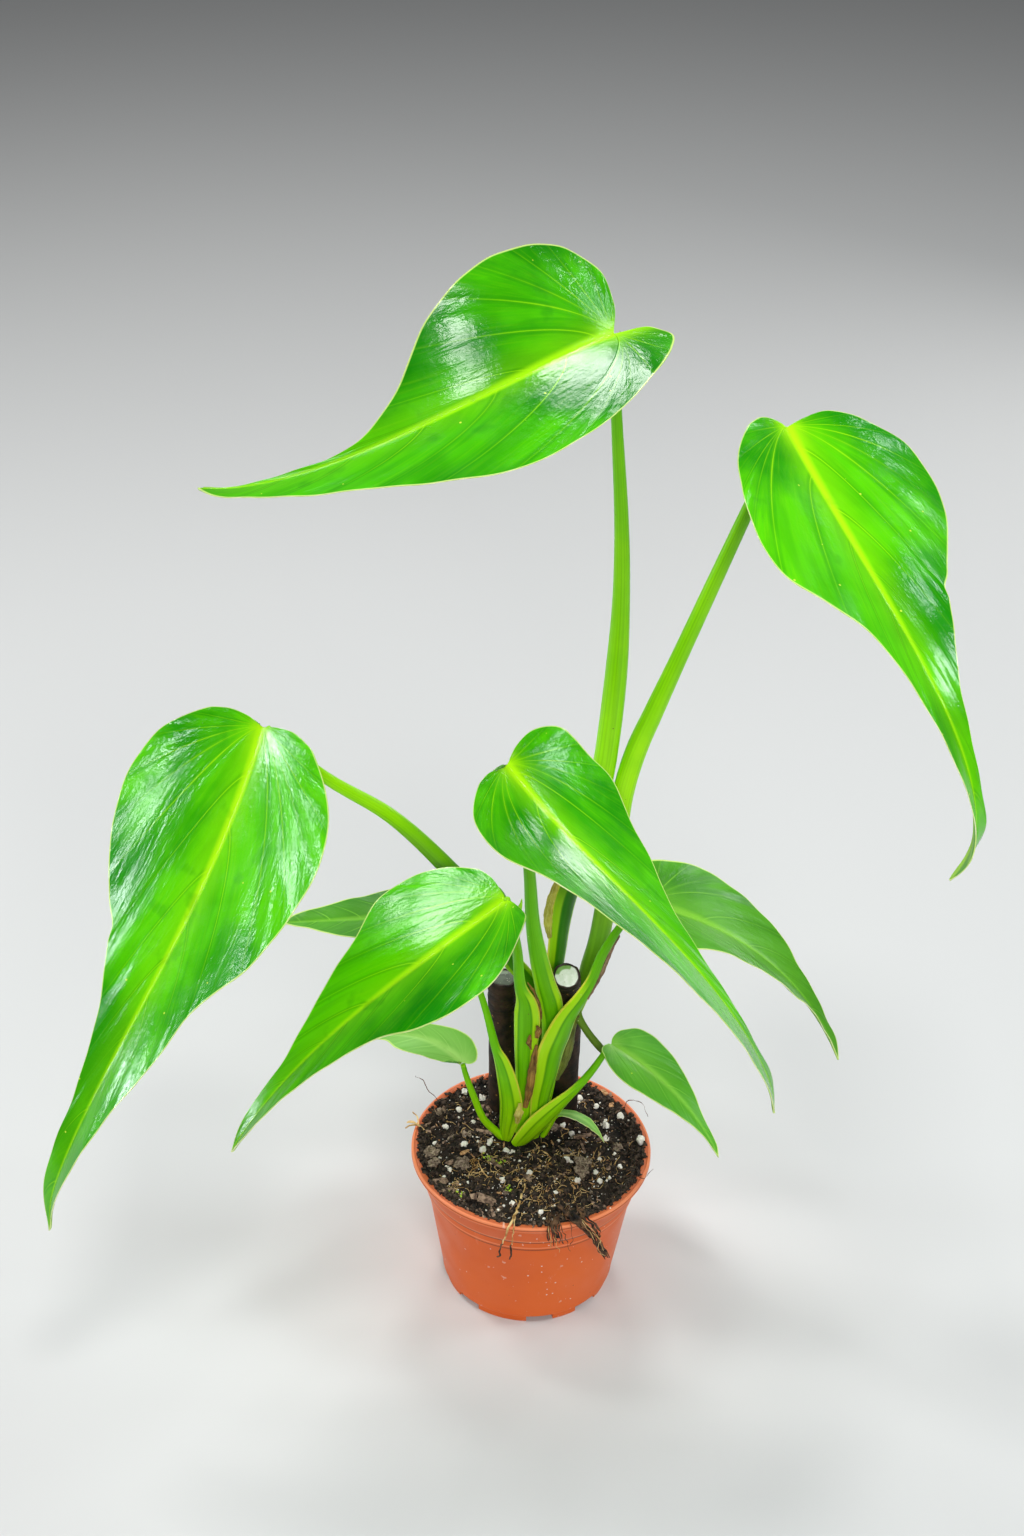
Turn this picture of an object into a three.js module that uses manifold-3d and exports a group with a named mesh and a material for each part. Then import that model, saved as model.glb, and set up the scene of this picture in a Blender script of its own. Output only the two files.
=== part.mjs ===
// A young flame monstera in a 12 cm nursery pot. Millimetres, +Z up, the viewer at -Y.
// The origin is the middle of the flat disc under the pot, which stands on the floor.
import * as THREE from "three";
import { mergeVertices } from "three/addons/utils/BufferGeometryUtils.js";
import Module from "manifold-3d";

const wasm = await Module();
wasm.setup();

// Driving dimensions of the pot.
const POT_HEIGHT = 80;
const RIM_RADIUS = 60;
const BEAD_HEIGHT = 3;
const UNDER_BEAD_RADIUS = 57.5;
const COLLAR_END = { radius: 54.5, z: 65.5 };
const BAND = { top: 53.7, bottom: 53, z: 59.5 };
const BODY = { top: 52, bottom: 43.5, z: 6 };
const WALL = 1.5;
const FLOOR_THICKNESS = 1.5;
const UNDERSIDE_HEIGHT = 4;
const FOOT_RING = { outer: 42, inner: 39.5 };
const CENTRE_DISC_RADIUS = 14;
const DRAIN_HOLE = { radius: 4, circle: 27, count: 8, sides: 16 };
const WIDE_FOOT_DEG = 35;
const NARROW_FOOT_DEG = 17.5;
const FOOT_GAP_DEG = 18.75;
const POT_SIDES = 48;

// Driving dimensions of the soil and of the holes the stems stand in.
const SOIL_EDGE_HEIGHT = 75.5;
const SOIL_MOUND = 1.8;
const SOIL_FRONT_RISE = 1.5;
const SOIL_CIRCLES = [1, 0.75, 0.5, 0.25];
const STEM_DEPTH = 62;
const HOLE_SIDES = 32;

// The clearance between pieces that touch.
const GAP = 0.3;
const MERGE_DISTANCE = 1e-4;

// Driving dimensions of the blades.
const BLADE_THICKNESS = 0.8;
const MIDRIB_DEPTH = 1.5;
// heading: compass degrees of the midrib at its start, middle and end (0 is +Y, 90 is +X).
// dip: degrees below the horizontal; roll: turn about the midrib; fold: lift of each half;
// curl: droop of the margin, for the widest half width; left and right: points of each half's margin,
// as distance along the midrib and across it. Left and right are those of the heading.
const BLADES = {
  top: {
    join: [22.5, 21, 510.5], length: 200, heading: [-137, -103, -55], dip: [-2, 23, 16], roll: [21, 24, 15],
    fold: 17, curl: 0.03, widest: 52,
    left: [
      [-17.7, 4.8], [-19.2, 15.6], [-10.3, 23.2], [-0.9, 28.2], [15.5, 35.8], [33.8, 43.4],
      [53.9, 48.5], [76.5, 48.5], [100.5, 37.8], [124.3, 26.8], [148.4, 18.6], [170.5, 11.5],
      [187.1, 7.7],
    ],
    right: [
      [-10, 12.4], [-13.9, 27.6], [-6.7, 41.2], [-0.6, 46.7], [16, 50.5], [34, 51.8], [54, 47.7],
      [76, 38.2], [99.5, 18.7], [123.6, 4.6], [148, 2.5], [170, 1.6], [185.8, 0.6],
    ],
  },
  upper_right: {
    join: [97.5, 19, 471], length: 227, heading: [155, 150, 110], dip: [27, 30, 109], roll: [8, 15, 5],
    fold: 15, curl: 0.21, widest: 60.5,
    left: [
      [-2.5, 9.8], [-3.6, 21], [-0.2, 31.1], [1.2, 34.2], [16.9, 54.5], [38.6, 59.4], [61.5, 52.3],
      [86, 38.7], [113.8, 25.7], [140.6, 13.6], [167.6, 6.8], [192.9, 6.4], [212.2, 8.8],
    ],
    right: [
      [-3.2, 6.3], [-3.8, 13.8], [-1, 20.2], [0.4, 22.6], [17.5, 36.6], [38.6, 45.1], [61.3, 51.5],
      [87.5, 51.7], [112.7, 27.1], [141.8, 16.4], [168.3, 12.7], [192.8, 6.8], [211.8, 7.2],
    ],
  },
  left: {
    join: [-127.5, 4.5, 322], length: 255, heading: [212, 219, 242], dip: [61, 46, 77], roll: [-9, -6, 1],
    fold: 15, curl: 0.15, widest: 65.5,
    left: [
      [-2.8, 10.7], [-4, 23.1], [-1.7, 34.7], [-0.3, 38.8], [19.8, 57], [43.4, 64.8], [69.1, 62.4],
      [97.7, 54.2], [126.7, 35.5], [159.1, 27.7], [188.6, 17.2], [216.4, 10.2], [237.1, 5.5],
    ],
    right: [
      [-2.7, 8.9], [-2.9, 19.2], [-0.7, 28.6], [0.7, 31.6], [19.5, 55.9], [43.4, 64.8], [69.8, 60.7],
      [97.2, 45.7], [127.7, 28.6], [158.3, 16.4], [188.5, 10.2], [216.7, 8.7], [237.6, 6.4],
    ],
  },
  centre: {
    join: [-17, -29.5, 328], length: 200, heading: [131, 120, 113], dip: [35, 35, 75], roll: [1, 24, 14],
    fold: 4, curl: -0.02, widest: 49,
    left: [
      [-5.1, 10.2], [-7.2, 22], [-3.7, 32.9], [0, 36.5], [16.6, 42.7], [34, 48.1], [53.6, 43.4],
      [76, 36.8], [100, 22.5], [124.3, 13.4], [147.7, 7.1], [169.5, 5], [186, 5.8],
    ],
    right: [
      [-0.3, 6.3], [-0.5, 13.5], [1.1, 20], [1.6, 21.7], [14.7, 42.1], [33.8, 52.9], [54.1, 44.7],
      [76.9, 40.6], [100.7, 35.1], [125.1, 29.3], [149.3, 21.3], [170.9, 13.3], [187, 7.7],
    ],
  },
  front_left: {
    join: [-15.5, -26, 252], length: 174, heading: [-122, -117, -114], dip: [24, 33, 60], roll: [0, -3, -11],
    fold: 11, curl: 0.07, widest: 44,
    left: [
      [-0.8, 5.3], [-1, 11.4], [-0.6, 17.1], [0, 19], [13.9, 32.4], [29.3, 41.9], [47.4, 44.1],
      [67.2, 38.9], [86.9, 25.8], [108.6, 18.8], [129, 12.6], [148.2, 8.6], [162.2, 4.8],
    ],
    right: [
      [-0.9, 6.7], [-1.5, 14.4], [-0.2, 21.5], [0.6, 23.7], [13.9, 37.5], [29.5, 45], [47.9, 45.5],
      [66.1, 35.4], [87.4, 26.3], [107.9, 16.4], [128.4, 8.7], [148.1, 6.4], [162.4, 5],
    ],
  },
  right: {
    join: [53, 15, 221.5], length: 125, heading: [96, 106, 125], dip: [12, 35, 63], roll: [-16, 9, 21],
    fold: 17, curl: 0.03, widest: 28.5,
    left: [
      [-8.8, 6.4], [-11, 13.8], [-6.1, 20.7], [-0.1, 23.4], [9.9, 26.3], [21.2, 28.1], [33.7, 26.8],
      [47.5, 24.5], [63.3, 20.9], [77.7, 13.8], [92.4, 8.6], [106.2, 5.4], [116.7, 4.3],
    ],
    right: [
      [-8.8, 6], [-11, 12.9], [-6.1, 19.4], [0, 21.5], [10, 26.1], [21.2, 30.9], [33.8, 26.4],
      [48.1, 25.2], [63.6, 22.7], [79.7, 20.2], [92.5, 9.6], [106.2, 4.5], [116.2, 1.9],
    ],
  },
  low_right: {
    join: [37.5, 6.5, 141.5], length: 77, heading: [115, 124, 137], dip: [17, 30, 51], roll: [-1, -4, 1],
    fold: 12, curl: 0.09, widest: 18,
    left: [
      [-1.2, 3.2], [-1.1, 6.9], [0.1, 10.2], [0.6, 11], [5.8, 16.5], [13.1, 18.1], [20.7, 16.8],
      [29.1, 14.3], [38.5, 10.6], [47.7, 6.9], [56.7, 3.7], [65.3, 2.5], [71.7, 2],
    ],
    right: [
      [-2, 2.9], [-2.5, 6.3], [-1.4, 9.5], [0, 10.5], [5.7, 15.5], [13, 18], [20.9, 17.8], [29.5, 15.7],
      [39, 12.7], [48.1, 9], [57.1, 5.1], [65.5, 2.4], [71.7, 1.2],
    ],
  },
  low_left: {
    join: [-35.5, 9, 125], length: 56, heading: [-57, -84, -101], dip: [-34, -6, 14], roll: [10, 15, 16],
    fold: 11, curl: 0.07, widest: 12.5,
    left: [
      [0.2, 1.2], [0.4, 1.6], [0.4, 1.8], [0.6, 1.8], [4.6, 4.7], [9.1, 8.5], [14.9, 10.5],
      [22.2, 11.1], [29.6, 10.9], [36.5, 8.8], [41.4, 3.8], [47.6, 2], [52.1, 0.9],
    ],
    right: [
      [-3.2, 2.8], [-4, 6], [-2.2, 9], [-0.2, 10.6], [4.2, 12.8], [9.5, 12.7], [15, 11.2], [21.1, 9.2],
      [28, 8.6], [34.7, 6.6], [41.4, 4.2], [47.6, 2], [52.1, 0.9],
    ],
  },
  back_left: {
    join: [-44.5, 25.5, 208.5], length: 80, heading: [-101, -92, -88], dip: [10, 6, 8], roll: [6, 14, 18],
    fold: 9, curl: 0.12, widest: 17,
    left: [
      [-5.6, 3.9], [-7, 8.4], [-3.9, 12.6], [0, 14], [6.4, 15.9], [13.6, 17.1], [21.6, 16.8],
      [30.4, 15.6], [40, 13.6], [49.6, 11.1], [59.1, 7.8], [67.7, 4.3], [74.4, 2.4],
    ],
    right: [
      [-5.6, 3.9], [-7, 8.4], [-3.9, 12.6], [0, 14], [6.4, 15.9], [13.6, 17.1], [21.6, 17.2],
      [30.4, 16], [40, 13.2], [50.1, 11.4], [59.8, 8.3], [68.8, 6.1], [75, 3.9],
    ],
  },
  tiny: {
    join: [13, 9, 93], length: 30, heading: [74, 99, 124], dip: [4, 33, 54], roll: [25, 13, -1],
    fold: 9, curl: 0.13, widest: 6.5,
    left: [
      [-2, 1.4], [-2.5, 3], [-1.4, 4.5], [0, 5], [2.4, 6], [5.1, 6.6], [8.1, 6.4], [11.4, 5.8],
      [15, 4.9], [18.6, 3.8], [22.2, 2.3], [25.5, 1], [27.9, 0.4],
    ],
    right: [
      [-2, 1.4], [-2.5, 3], [-1.4, 4.5], [0, 5], [2.4, 5.6], [5.1, 6.1], [8.1, 6.2], [11.4, 5.9],
      [15, 5], [18.6, 3.8], [22.2, 2.3], [25.5, 1], [27.9, 0.4],
    ],
  },
};

// Driving dimensions of the leaf stalks.
// Each row is x, y, z, width, depth and how far the section opens to a channel (0 round, 1 sheath).
// channel is the way the open side of the sheath looks.
const STALKS = {
  low_right: {
    channel: [-0.25, 1, 0.25],
    route: [
      [-7, 5.5, 76.5, 7, 5, 0.2], [-3.2, 4, 83, 10.5, 6, 0.6], [3, 3, 93, 12.5, 6.5, 0.9],
      [9, 3, 101, 11, 6, 0.9], [15, 3.5, 108, 7.8, 5, 0.7], [21, 4, 115, 5.3, 4.4, 0.4],
      [28, 5.5, 124, 3.8, 3.8, 0], [37, 6.8, 140.5, 2.8, 2.8, 0],
    ],
  },
  right: {
    channel: [-0.6, 0.8, 0],
    route: [
      [1, 11, 76.5, 7, 5, 0.2], [3, 10.5, 92, 10, 6, 0.5], [4, 10, 105, 12, 7, 0.8],
      [6, 9, 120, 14, 8.5, 1], [8.2, 8, 137, 16.3, 9.5, 1], [10.5, 8, 145, 16, 9.5, 1],
      [14.7, 9.5, 156, 12.5, 8, 1], [21, 11, 166.5, 8.8, 6.5, 0.8], [26.5, 12, 177.5, 6.4, 5.4, 0.4],
      [32, 13, 194, 4.8, 4.6, 0], [42, 14.5, 212, 3.6, 3.6, 0], [52, 15.5, 220, 3.2, 3.2, 0],
    ],
  },
  back_left: {
    channel: [0.5, 0.85, 0],
    route: [
      [-13, 8, 76.5, 5.5, 4, 0.2], [-12, 6.5, 87, 9.4, 5, 0.6], [-10.6, 5, 103, 12.9, 6.5, 0.9],
      [-13, 4.5, 119.5, 11.5, 6, 0.9], [-16, 6, 130, 8.5, 5, 0.8], [-19, 8, 136.5, 5, 4.4, 0.3],
      [-23.5, 13, 152, 3.6, 3.6, 0], [-27, 16, 163, 3.2, 3.2, 0], [-38, 23.5, 194, 2.8, 2.8, 0],
      [-44, 25.6, 207.5, 2.6, 2.6, 0],
    ],
  },
  front_left: {
    channel: [0.3, 0.95, 0],
    route: [
      [-5, 12, 76.5, 6.5, 5, 0.2], [-4.2, 10.5, 103, 8.5, 5.5, 0.5], [-4.5, 9, 120, 9.3, 6, 0.7],
      [-4.3, 8, 137, 11.7, 7, 0.9], [-4.1, 5, 159, 13.2, 7.5, 1], [-4.8, 3, 170, 10.4, 6.5, 0.8],
      [-8, -1, 183, 6, 5, 0.3], [-9.6, -7.5, 205, 4.9, 4.5, 0], [-11, -16, 222, 4.2, 4, 0],
      [-15.5, -25.9, 251.9, 3.2, 3.2, 0],
    ],
  },
  centre: {
    channel: [0, 1, 0],
    route: [
      [3.5, 17.5, 76.5, 7, 5, 0], [8, 17, 120, 9.3, 6, 0.2], [8.6, 15.5, 147, 10.8, 6.5, 0.5],
      [6.8, 12, 163.5, 11.9, 7, 0.7], [4.2, 9, 175.5, 10.6, 7, 0.6], [0, 5, 197.5, 8.7, 6.5, 0.4],
      [-3, 0, 219.5, 6.9, 6, 0.2], [-6.3, -11, 263.5, 5.2, 5, 0], [-12.5, -22.5, 300, 4.2, 4.2, 0],
      [-17, -29.4, 327.9, 3.6, 3.6, 0],
    ],
  },
  upper_right: {
    channel: [0.4, 0.9, 0],
    route: [
      [2, 20, 76.5, 6, 4.5, 0], [5.5, 25, 92, 7, 5.5, 0], [15, 34.5, 125, 8, 6.5, 0.2],
      [24, 37, 154, 9.3, 7.5, 0.4], [27, 35, 169.5, 9.9, 8, 0.4],
      [30, 32, 187, 10.2, 8, 0.3], [35, 27.5, 243.5, 10.2, 8.6, 0.1],
      [37.5, 27, 277, 10.2, 9, 0], [42.4, 26, 301.5, 10, 9, 0], [49, 25, 322.5, 9.1, 8.6, 0],
      [59, 24, 353, 7.7, 7.6, 0], [75, 23, 401.5, 6.6, 6.6, 0], [97.4, 19.1, 470.9, 4.8, 4.8, 0],
    ],
  },
  top: {
    channel: [-0.6, 0.8, 0],
    route: [
      [-3, 21, 76.5, 6.5, 4.5, 0], [-1, 25, 92, 7.5, 5.5, 0], [3, 32.5, 120, 9, 6.5, 0.2],
      [8, 37.5, 155, 9.5, 7, 0.4], [9.5, 36.5, 175.5, 10.8, 8, 0.6],
      [10.6, 35, 194, 12, 8.5, 0.6], [13.2, 33, 215, 14, 9.5, 0.5],
      [23, 28, 248.5, 11.8, 10, 0.1], [26, 27, 275, 11.4, 10.2, 0], [28.5, 26, 298.5, 11.1, 10.4, 0],
      [31, 24, 342, 10.4, 10, 0], [31.5, 23, 381, 8, 8, 0], [30, 22, 419, 6.5, 6.5, 0],
      [25.2, 21, 474, 4.8, 4.8, 0], [22.5, 21, 510.4, 4, 4, 0],
    ],
  },
  left: {
    channel: [-0.4, 0.9, 0],
    route: [
      [-8, 20, 76.5, 6, 4.5, 0], [-5, 22, 112, 7, 5.5, 0.3], [-2.2, 25, 146, 7.7, 6, 0.5],
      [-3.5, 26.5, 163, 8, 6.5, 0.6], [-13, 27, 176.5, 9, 7.5, 0.5], [-28.5, 25, 210.5, 9.2, 8.6, 0.2],
      [-45.3, 21, 236.5, 8.5, 8, 0], [-71, 14, 269, 7, 6.8, 0], [-100.5, 8, 293.5, 5.6, 5.4, 0],
      [-127.3, 4.6, 321.8, 4.6, 4.6, 0],
    ],
  },
  tiny: {
    channel: [-0.5, 0, 0.9],
    route: [
      [6, 11.5, 76.5, 3.8, 3, 0], [9.5, 10, 86, 3.4, 2.8, 0.3], [11.4, 9.2, 91, 2.6, 2.4, 0],
      [12.6, 9, 92.6, 2.4, 2.2, 0],
    ],
  },
  low_left: {
    channel: [0.6, 0, 0.8],
    route: [
      [-14, 8.6, 76.5, 4, 3.6, 0], [-17.2, 8, 81, 4.4, 3.8, 0], [-23.8, 8, 89.5, 4.2, 4, 0.2],
      [-29, 8.3, 103, 3.4, 3.4, 0], [-33.2, 9.2, 116, 3, 3, 0], [-35, 9.2, 123.5, 2.6, 2.6, 0],
    ],
  },
};

// Driving dimensions of the stems.
// Rows of x, y, z and diameter up the middle of each stem.
const STUBS = {
  stub_left: [[-14.5, 34.5, 62, 15.5], [-15, 35, 100, 15], [-16, 36.5, 140, 15], [-16.4, 37, 157, 15]],
  stub_right: [
    [15.5, 28, 62, 15.5], [15.5, 28, 110, 15], [15.6, 27.5, 142, 14.5], [15, 25.5, 158, 14],
    [14.8, 22, 167.5, 13.6], [14.6, 17.5, 174.5, 13.4],
  ],
};
const AERIAL_ROOT = {
  channel: [0, 1, 0],
  route: [
    [20, 19, 156, 4, 4, 0], [21.5, 15, 151, 3.8, 3.8, 0], [26, 13, 143.5, 3.8, 3.8, 0],
    [32.5, 13, 134, 3.8, 3.6, 0], [40.5, 14, 123.5, 3, 3, 0], [43, 14, 119, 1.6, 1.6, 0],
  ],
};
const CROWN = { centre: [-4.5, 13], radius: 13.4, top: 76 };

// Withered sheath scraps: rows of x, y, z, width, depth and channel, as for the stalks.
const SCRAPS = {
  scrap_top: {
    channel: [0.9, 0.3, 0],
    route: [[4.7, 30.4, 188, 2, 1.4, 0.5], [3.6, 29.6, 195, 4, 1.5, 0.8], [3.6, 28.6, 205, 5, 1.6, 0.8],
      [5.4, 27.6, 217, 4, 1.5, 0.6], [8, 27.6, 228, 1.4, 1.2, 0]],
  },
  scrap_right: {
    channel: [0, 1, 0],
    route: [[26.6, 10.6, 166.5, 1.8, 1.2, 0.2], [30.9, 11.4, 177.5, 2.6, 1.3, 0.2],
      [33.6, 12, 186, 3, 1.3, 0.2], [36.6, 13, 196, 2.4, 1.2, 0.2], [39.6, 13.6, 203, 1.2, 1, 0]],
  },
  scrap_front: {
    channel: [0, 1, 0],
    route: [[-3.6, 2.6, 103, 2.4, 1.4, 0.4], [-1.8, 3, 114, 4, 1.5, 0.6], [-0.6, 3, 128, 3.8, 1.5, 0.5],
      [1, 3.6, 142, 1.6, 1.2, 0]],
  },
  sheath_olive: {
    channel: [-0.5, 0.85, 0],
    route: [[11, 14, 112, 4.5, 2.2, 0.5], [14.3, 14, 123, 7.5, 2.6, 0.8], [16.3, 14, 133.5, 7.7, 2.6, 0.9],
      [18, 14, 144, 5, 2.2, 0.7], [21, 14, 153, 2.4, 1.6, 0.2]],
  },
};

const material = (color, roughness, metalness = 0) =>
  new THREE.MeshStandardMaterial({ color, roughness, metalness });
const FINISH = {
  terracotta_plastic: material(0xc9643a, 0.45),
  potting_soil: material(0x231b16, 0.95),
  leaf_gloss: material(0x4bb01c, 0.25),
  leaf_matt: material(0x5fa544, 0.5),
  stalk_green: material(0x6fb01f, 0.4),
  old_stem: material(0x2c211b, 0.85),
  dry_sheath: material(0x8a6a3c, 0.8),
};

const rad = THREE.MathUtils.degToRad;

// A value that passes through its start, middle and end along x from 0 to 1.
function through([start, middle, end], x) {
  return start * (1 - x) * (1 - 2 * x) + middle * 4 * x * (1 - x) + end * x * (2 * x - 1);
}

function solidFrom(vertices, triangles) {
  const mesh = new wasm.Mesh({
    numProp: 3,
    vertProperties: new Float32Array(vertices.flatMap((v) => [v.x, v.y, v.z])),
    triVerts: new Uint32Array(triangles.flat()),
  });
  const solid = new wasm.Manifold(mesh);
  return solid.volume() < 0 ? new wasm.Manifold(flipped(mesh)) : solid;
}

// A solid from a closed three.js geometry, with its doubled vertices merged.
function solidOf(geometry) {
  geometry.deleteAttribute("normal");
  geometry.deleteAttribute("uv");
  const merged = mergeVertices(geometry, MERGE_DISTANCE);
  const { position } = merged.attributes;
  const vertices = [];
  for (let i = 0; i < position.count; i += 1) {
    vertices.push(new THREE.Vector3().fromBufferAttribute(position, i));
  }
  const triangles = [];
  for (let i = 0; i < merged.index.count; i += 3) {
    const corners = [0, 1, 2].map((k) => merged.index.getX(i + k));
    if (new Set(corners).size === 3) triangles.push(corners);
  }
  return solidFrom(vertices, triangles);
}

// An outline of [radius, z] points, from the axis and back to it, turned about +Z.
function turned(outline, sides) {
  const points = outline.map(([radius, z]) => new THREE.Vector2(radius, z));
  return new THREE.LatheGeometry(points, sides).rotateX(Math.PI / 2);
}

// An upright round solid about the line through x and y.
function upright(x, y, bottomRadius, topRadius, bottom, top, sides = HOLE_SIDES) {
  const geometry = new THREE.CylinderGeometry(topRadius, bottomRadius, top - bottom, sides);
  return solidOf(geometry.rotateX(Math.PI / 2).translate(x, y, (bottom + top) / 2));
}

function flipped(mesh) {
  const triVerts = mesh.triVerts.slice();
  for (let i = 0; i < triVerts.length; i += 3) {
    [triVerts[i + 1], triVerts[i + 2]] = [triVerts[i + 2], triVerts[i + 1]];
  }
  return new wasm.Mesh({ numProp: 3, vertProperties: mesh.vertProperties, triVerts });
}

function largest(solid) {
  return solid.decompose().reduce((best, piece) => (piece.volume() > best.volume() ? piece : best));
}

function meshOf(name, solid, finish) {
  const { vertProperties, triVerts } = solid.getMesh();
  const geometry = new THREE.BufferGeometry();
  geometry.setAttribute("position", new THREE.BufferAttribute(new Float32Array(vertProperties), 3));
  geometry.setIndex(new THREE.BufferAttribute(new Uint32Array(triVerts), 1));
  geometry.computeVertexNormals();
  const mesh = new THREE.Mesh(geometry, finish);
  mesh.name = name;
  return mesh;
}

function buildPot() {
  const outline = [
    [0, 0],
    [CENTRE_DISC_RADIUS, 0],
    [CENTRE_DISC_RADIUS + 1, UNDERSIDE_HEIGHT],
    [FOOT_RING.inner, UNDERSIDE_HEIGHT],
    [FOOT_RING.inner, 0],
    [FOOT_RING.outer, 0],
    [FOOT_RING.outer + 0.6, UNDERSIDE_HEIGHT],
    [BODY.bottom, BODY.z],
    [BODY.top, BAND.z],
    [BAND.bottom, BAND.z],
    [BAND.top, COLLAR_END.z],
    [COLLAR_END.radius, COLLAR_END.z],
    [UNDER_BEAD_RADIUS, POT_HEIGHT - BEAD_HEIGHT],
    [RIM_RADIUS - 0.6, POT_HEIGHT - BEAD_HEIGHT],
    [RIM_RADIUS, POT_HEIGHT - BEAD_HEIGHT + 0.6],
    [RIM_RADIUS, POT_HEIGHT - 0.8],
    [RIM_RADIUS - 0.8, POT_HEIGHT],
    [RIM_RADIUS - 3.4, POT_HEIGHT],
    [UNDER_BEAD_RADIUS - WALL, POT_HEIGHT - BEAD_HEIGHT],
    [COLLAR_END.radius - WALL, COLLAR_END.z],
    [BODY.top - WALL, BAND.z],
    [BODY.bottom - WALL, UNDERSIDE_HEIGHT + FLOOR_THICKNESS],
    [0, UNDERSIDE_HEIGHT + FLOOR_THICKNESS],
  ];
  let pot = solidOf(turned(outline, POT_SIDES));
  for (const [start, width] of footGaps()) {
    pot = pot.subtract(footGapCutter(start, width));
  }
  for (let i = 0; i < DRAIN_HOLE.count; i += 1) {
    const angle = (2 * Math.PI * (i + 0.5)) / DRAIN_HOLE.count;
    const [x, y] = [DRAIN_HOLE.circle * Math.cos(angle), DRAIN_HOLE.circle * Math.sin(angle)];
    const [below, above] = [UNDERSIDE_HEIGHT - 1, UNDERSIDE_HEIGHT + FLOOR_THICKNESS + 1];
    pot = pot.subtract(upright(x, y, DRAIN_HOLE.radius, DRAIN_HOLE.radius, below, above, DRAIN_HOLE.sides));
  }
  return pot;
}

// Start and width, in degrees from the front towards +X, of the gaps between the feet.
function footGaps() {
  const gaps = [];
  for (let quarter = 0; quarter < 4; quarter += 1) {
    gaps.push([quarter * 90, FOOT_GAP_DEG]);
    const second = FOOT_GAP_DEG + NARROW_FOOT_DEG;
    gaps.push([quarter * 90 + second, 90 - WIDE_FOOT_DEG - second]);
  }
  return gaps;
}

function footGapCutter(start, width) {
  const corner = (radius, degrees) =>
    new THREE.Vector2(radius * Math.sin(rad(degrees)), -radius * Math.cos(rad(degrees)));
  const near = FOOT_RING.inner - 3;
  const reach = FOOT_RING.outer + 6;
  const ring = new THREE.Shape([
    corner(near, start), corner(reach, start), corner(reach, start + width / 2), corner(reach, start + width),
    corner(near, start + width),
  ]);
  const geometry = new THREE.ExtrudeGeometry(ring, { depth: UNDERSIDE_HEIGHT, bevelEnabled: false });
  return solidOf(geometry.translate(0, 0, -1));
}

function soilTop(x, y) {
  const share = Math.hypot(x, y) / (UNDER_BEAD_RADIUS - WALL);
  const lumps = 0.5 * Math.sin(x * 0.31 + 1) * Math.cos(y * 0.27) + 0.35 * Math.sin(x * 0.13 - y * 0.4);
  return SOIL_EDGE_HEIGHT + SOIL_MOUND * (1 - share * share) + SOIL_FRONT_RISE * Math.max(0, -y / 56) + lumps;
}

function buildSoil(holes) {
  const floor = UNDERSIDE_HEIGHT + FLOOR_THICKNESS + GAP;
  const topRadius = UNDER_BEAD_RADIUS - WALL - 3 * GAP;
  const outline = [
    [0, floor],
    [BODY.bottom - WALL - GAP, floor],
    [BODY.top - WALL - GAP, BAND.z],
    [COLLAR_END.radius - WALL - GAP, COLLAR_END.z],
    ...SOIL_CIRCLES.map((share) => [share * topRadius, POT_HEIGHT]),
    [0, POT_HEIGHT],
  ];
  const geometry = turned(outline, POT_SIDES);
  const { position } = geometry.attributes;
  for (let i = 0; i < position.count; i += 1) {
    if (position.getZ(i) > SOIL_EDGE_HEIGHT) position.setZ(i, soilTop(position.getX(i), position.getY(i)));
  }
  return holes.reduce((soil, hole) => soil.subtract(hole), solidOf(geometry));
}

// The midrib as a list of places with their forward, side and up directions.
function midribOf(blade) {
  const steps = 60;
  const place = new THREE.Vector3(...blade.join);
  const list = [];
  let before = null;
  for (let i = 0; i <= steps; i += 1) {
    const x = i / steps;
    const [h, d, r] = [blade.heading, blade.dip, blade.roll].map((value) => rad(through(value, x)));
    const forward = new THREE.Vector3(Math.sin(h) * Math.cos(d), Math.cos(h) * Math.cos(d), -Math.sin(d));
    const level = new THREE.Vector3(Math.cos(h), -Math.sin(h), 0);
    const lift = level.clone().cross(forward);
    const side = level.multiplyScalar(Math.cos(r)).addScaledVector(lift, Math.sin(r));
    if (before) place.addScaledVector(before.clone().add(forward), blade.length / steps / 2);
    list.push({ place: place.clone(), forward, side, up: side.clone().cross(forward) });
    before = forward;
  }
  return list;
}

// The surface point at a share along the length and a distance across (left is negative).
function bladePoint(blade, midrib, along, across) {
  const x = THREE.MathUtils.clamp(along, 0, 1) * (midrib.length - 1);
  const i = Math.min(Math.floor(x), midrib.length - 2);
  const mix = (key) => midrib[i][key].clone().lerp(midrib[i + 1][key], x - i);
  const width = Math.abs(across);
  const lift = width * Math.sin(rad(blade.fold)) - (blade.curl * width * width) / blade.widest;
  return mix("place")
    .addScaledVector(mix("forward"), Math.min(along, 0) * blade.length)
    .addScaledVector(mix("side"), across * Math.cos(rad(blade.fold)))
    .addScaledVector(mix("up"), lift);
}

// The edge of one half: points [share along, distance across] from the join round the lobe to the tip.
function marginOf(blade, half) {
  const points = [[0, 0], ...blade[half], [blade.length, 0]].map(([x, y]) => new THREE.Vector3(x, y, 0));
  const curve = new THREE.CatmullRomCurve3(points, false, "centripetal");
  const spans = points.length - 1;
  const sampled = [];
  for (let span = 1; span < spans; span += 1) {
    const cuts = span > 3 && span < 9 ? 2 : 1;
    for (let k = 0; k < cuts; k += 1) sampled.push((span + k / cuts) / spans);
  }
  return sampled.map((t) => curve.getPoint(t)).map((p) => [p.x / blade.length, p.y]);
}

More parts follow.
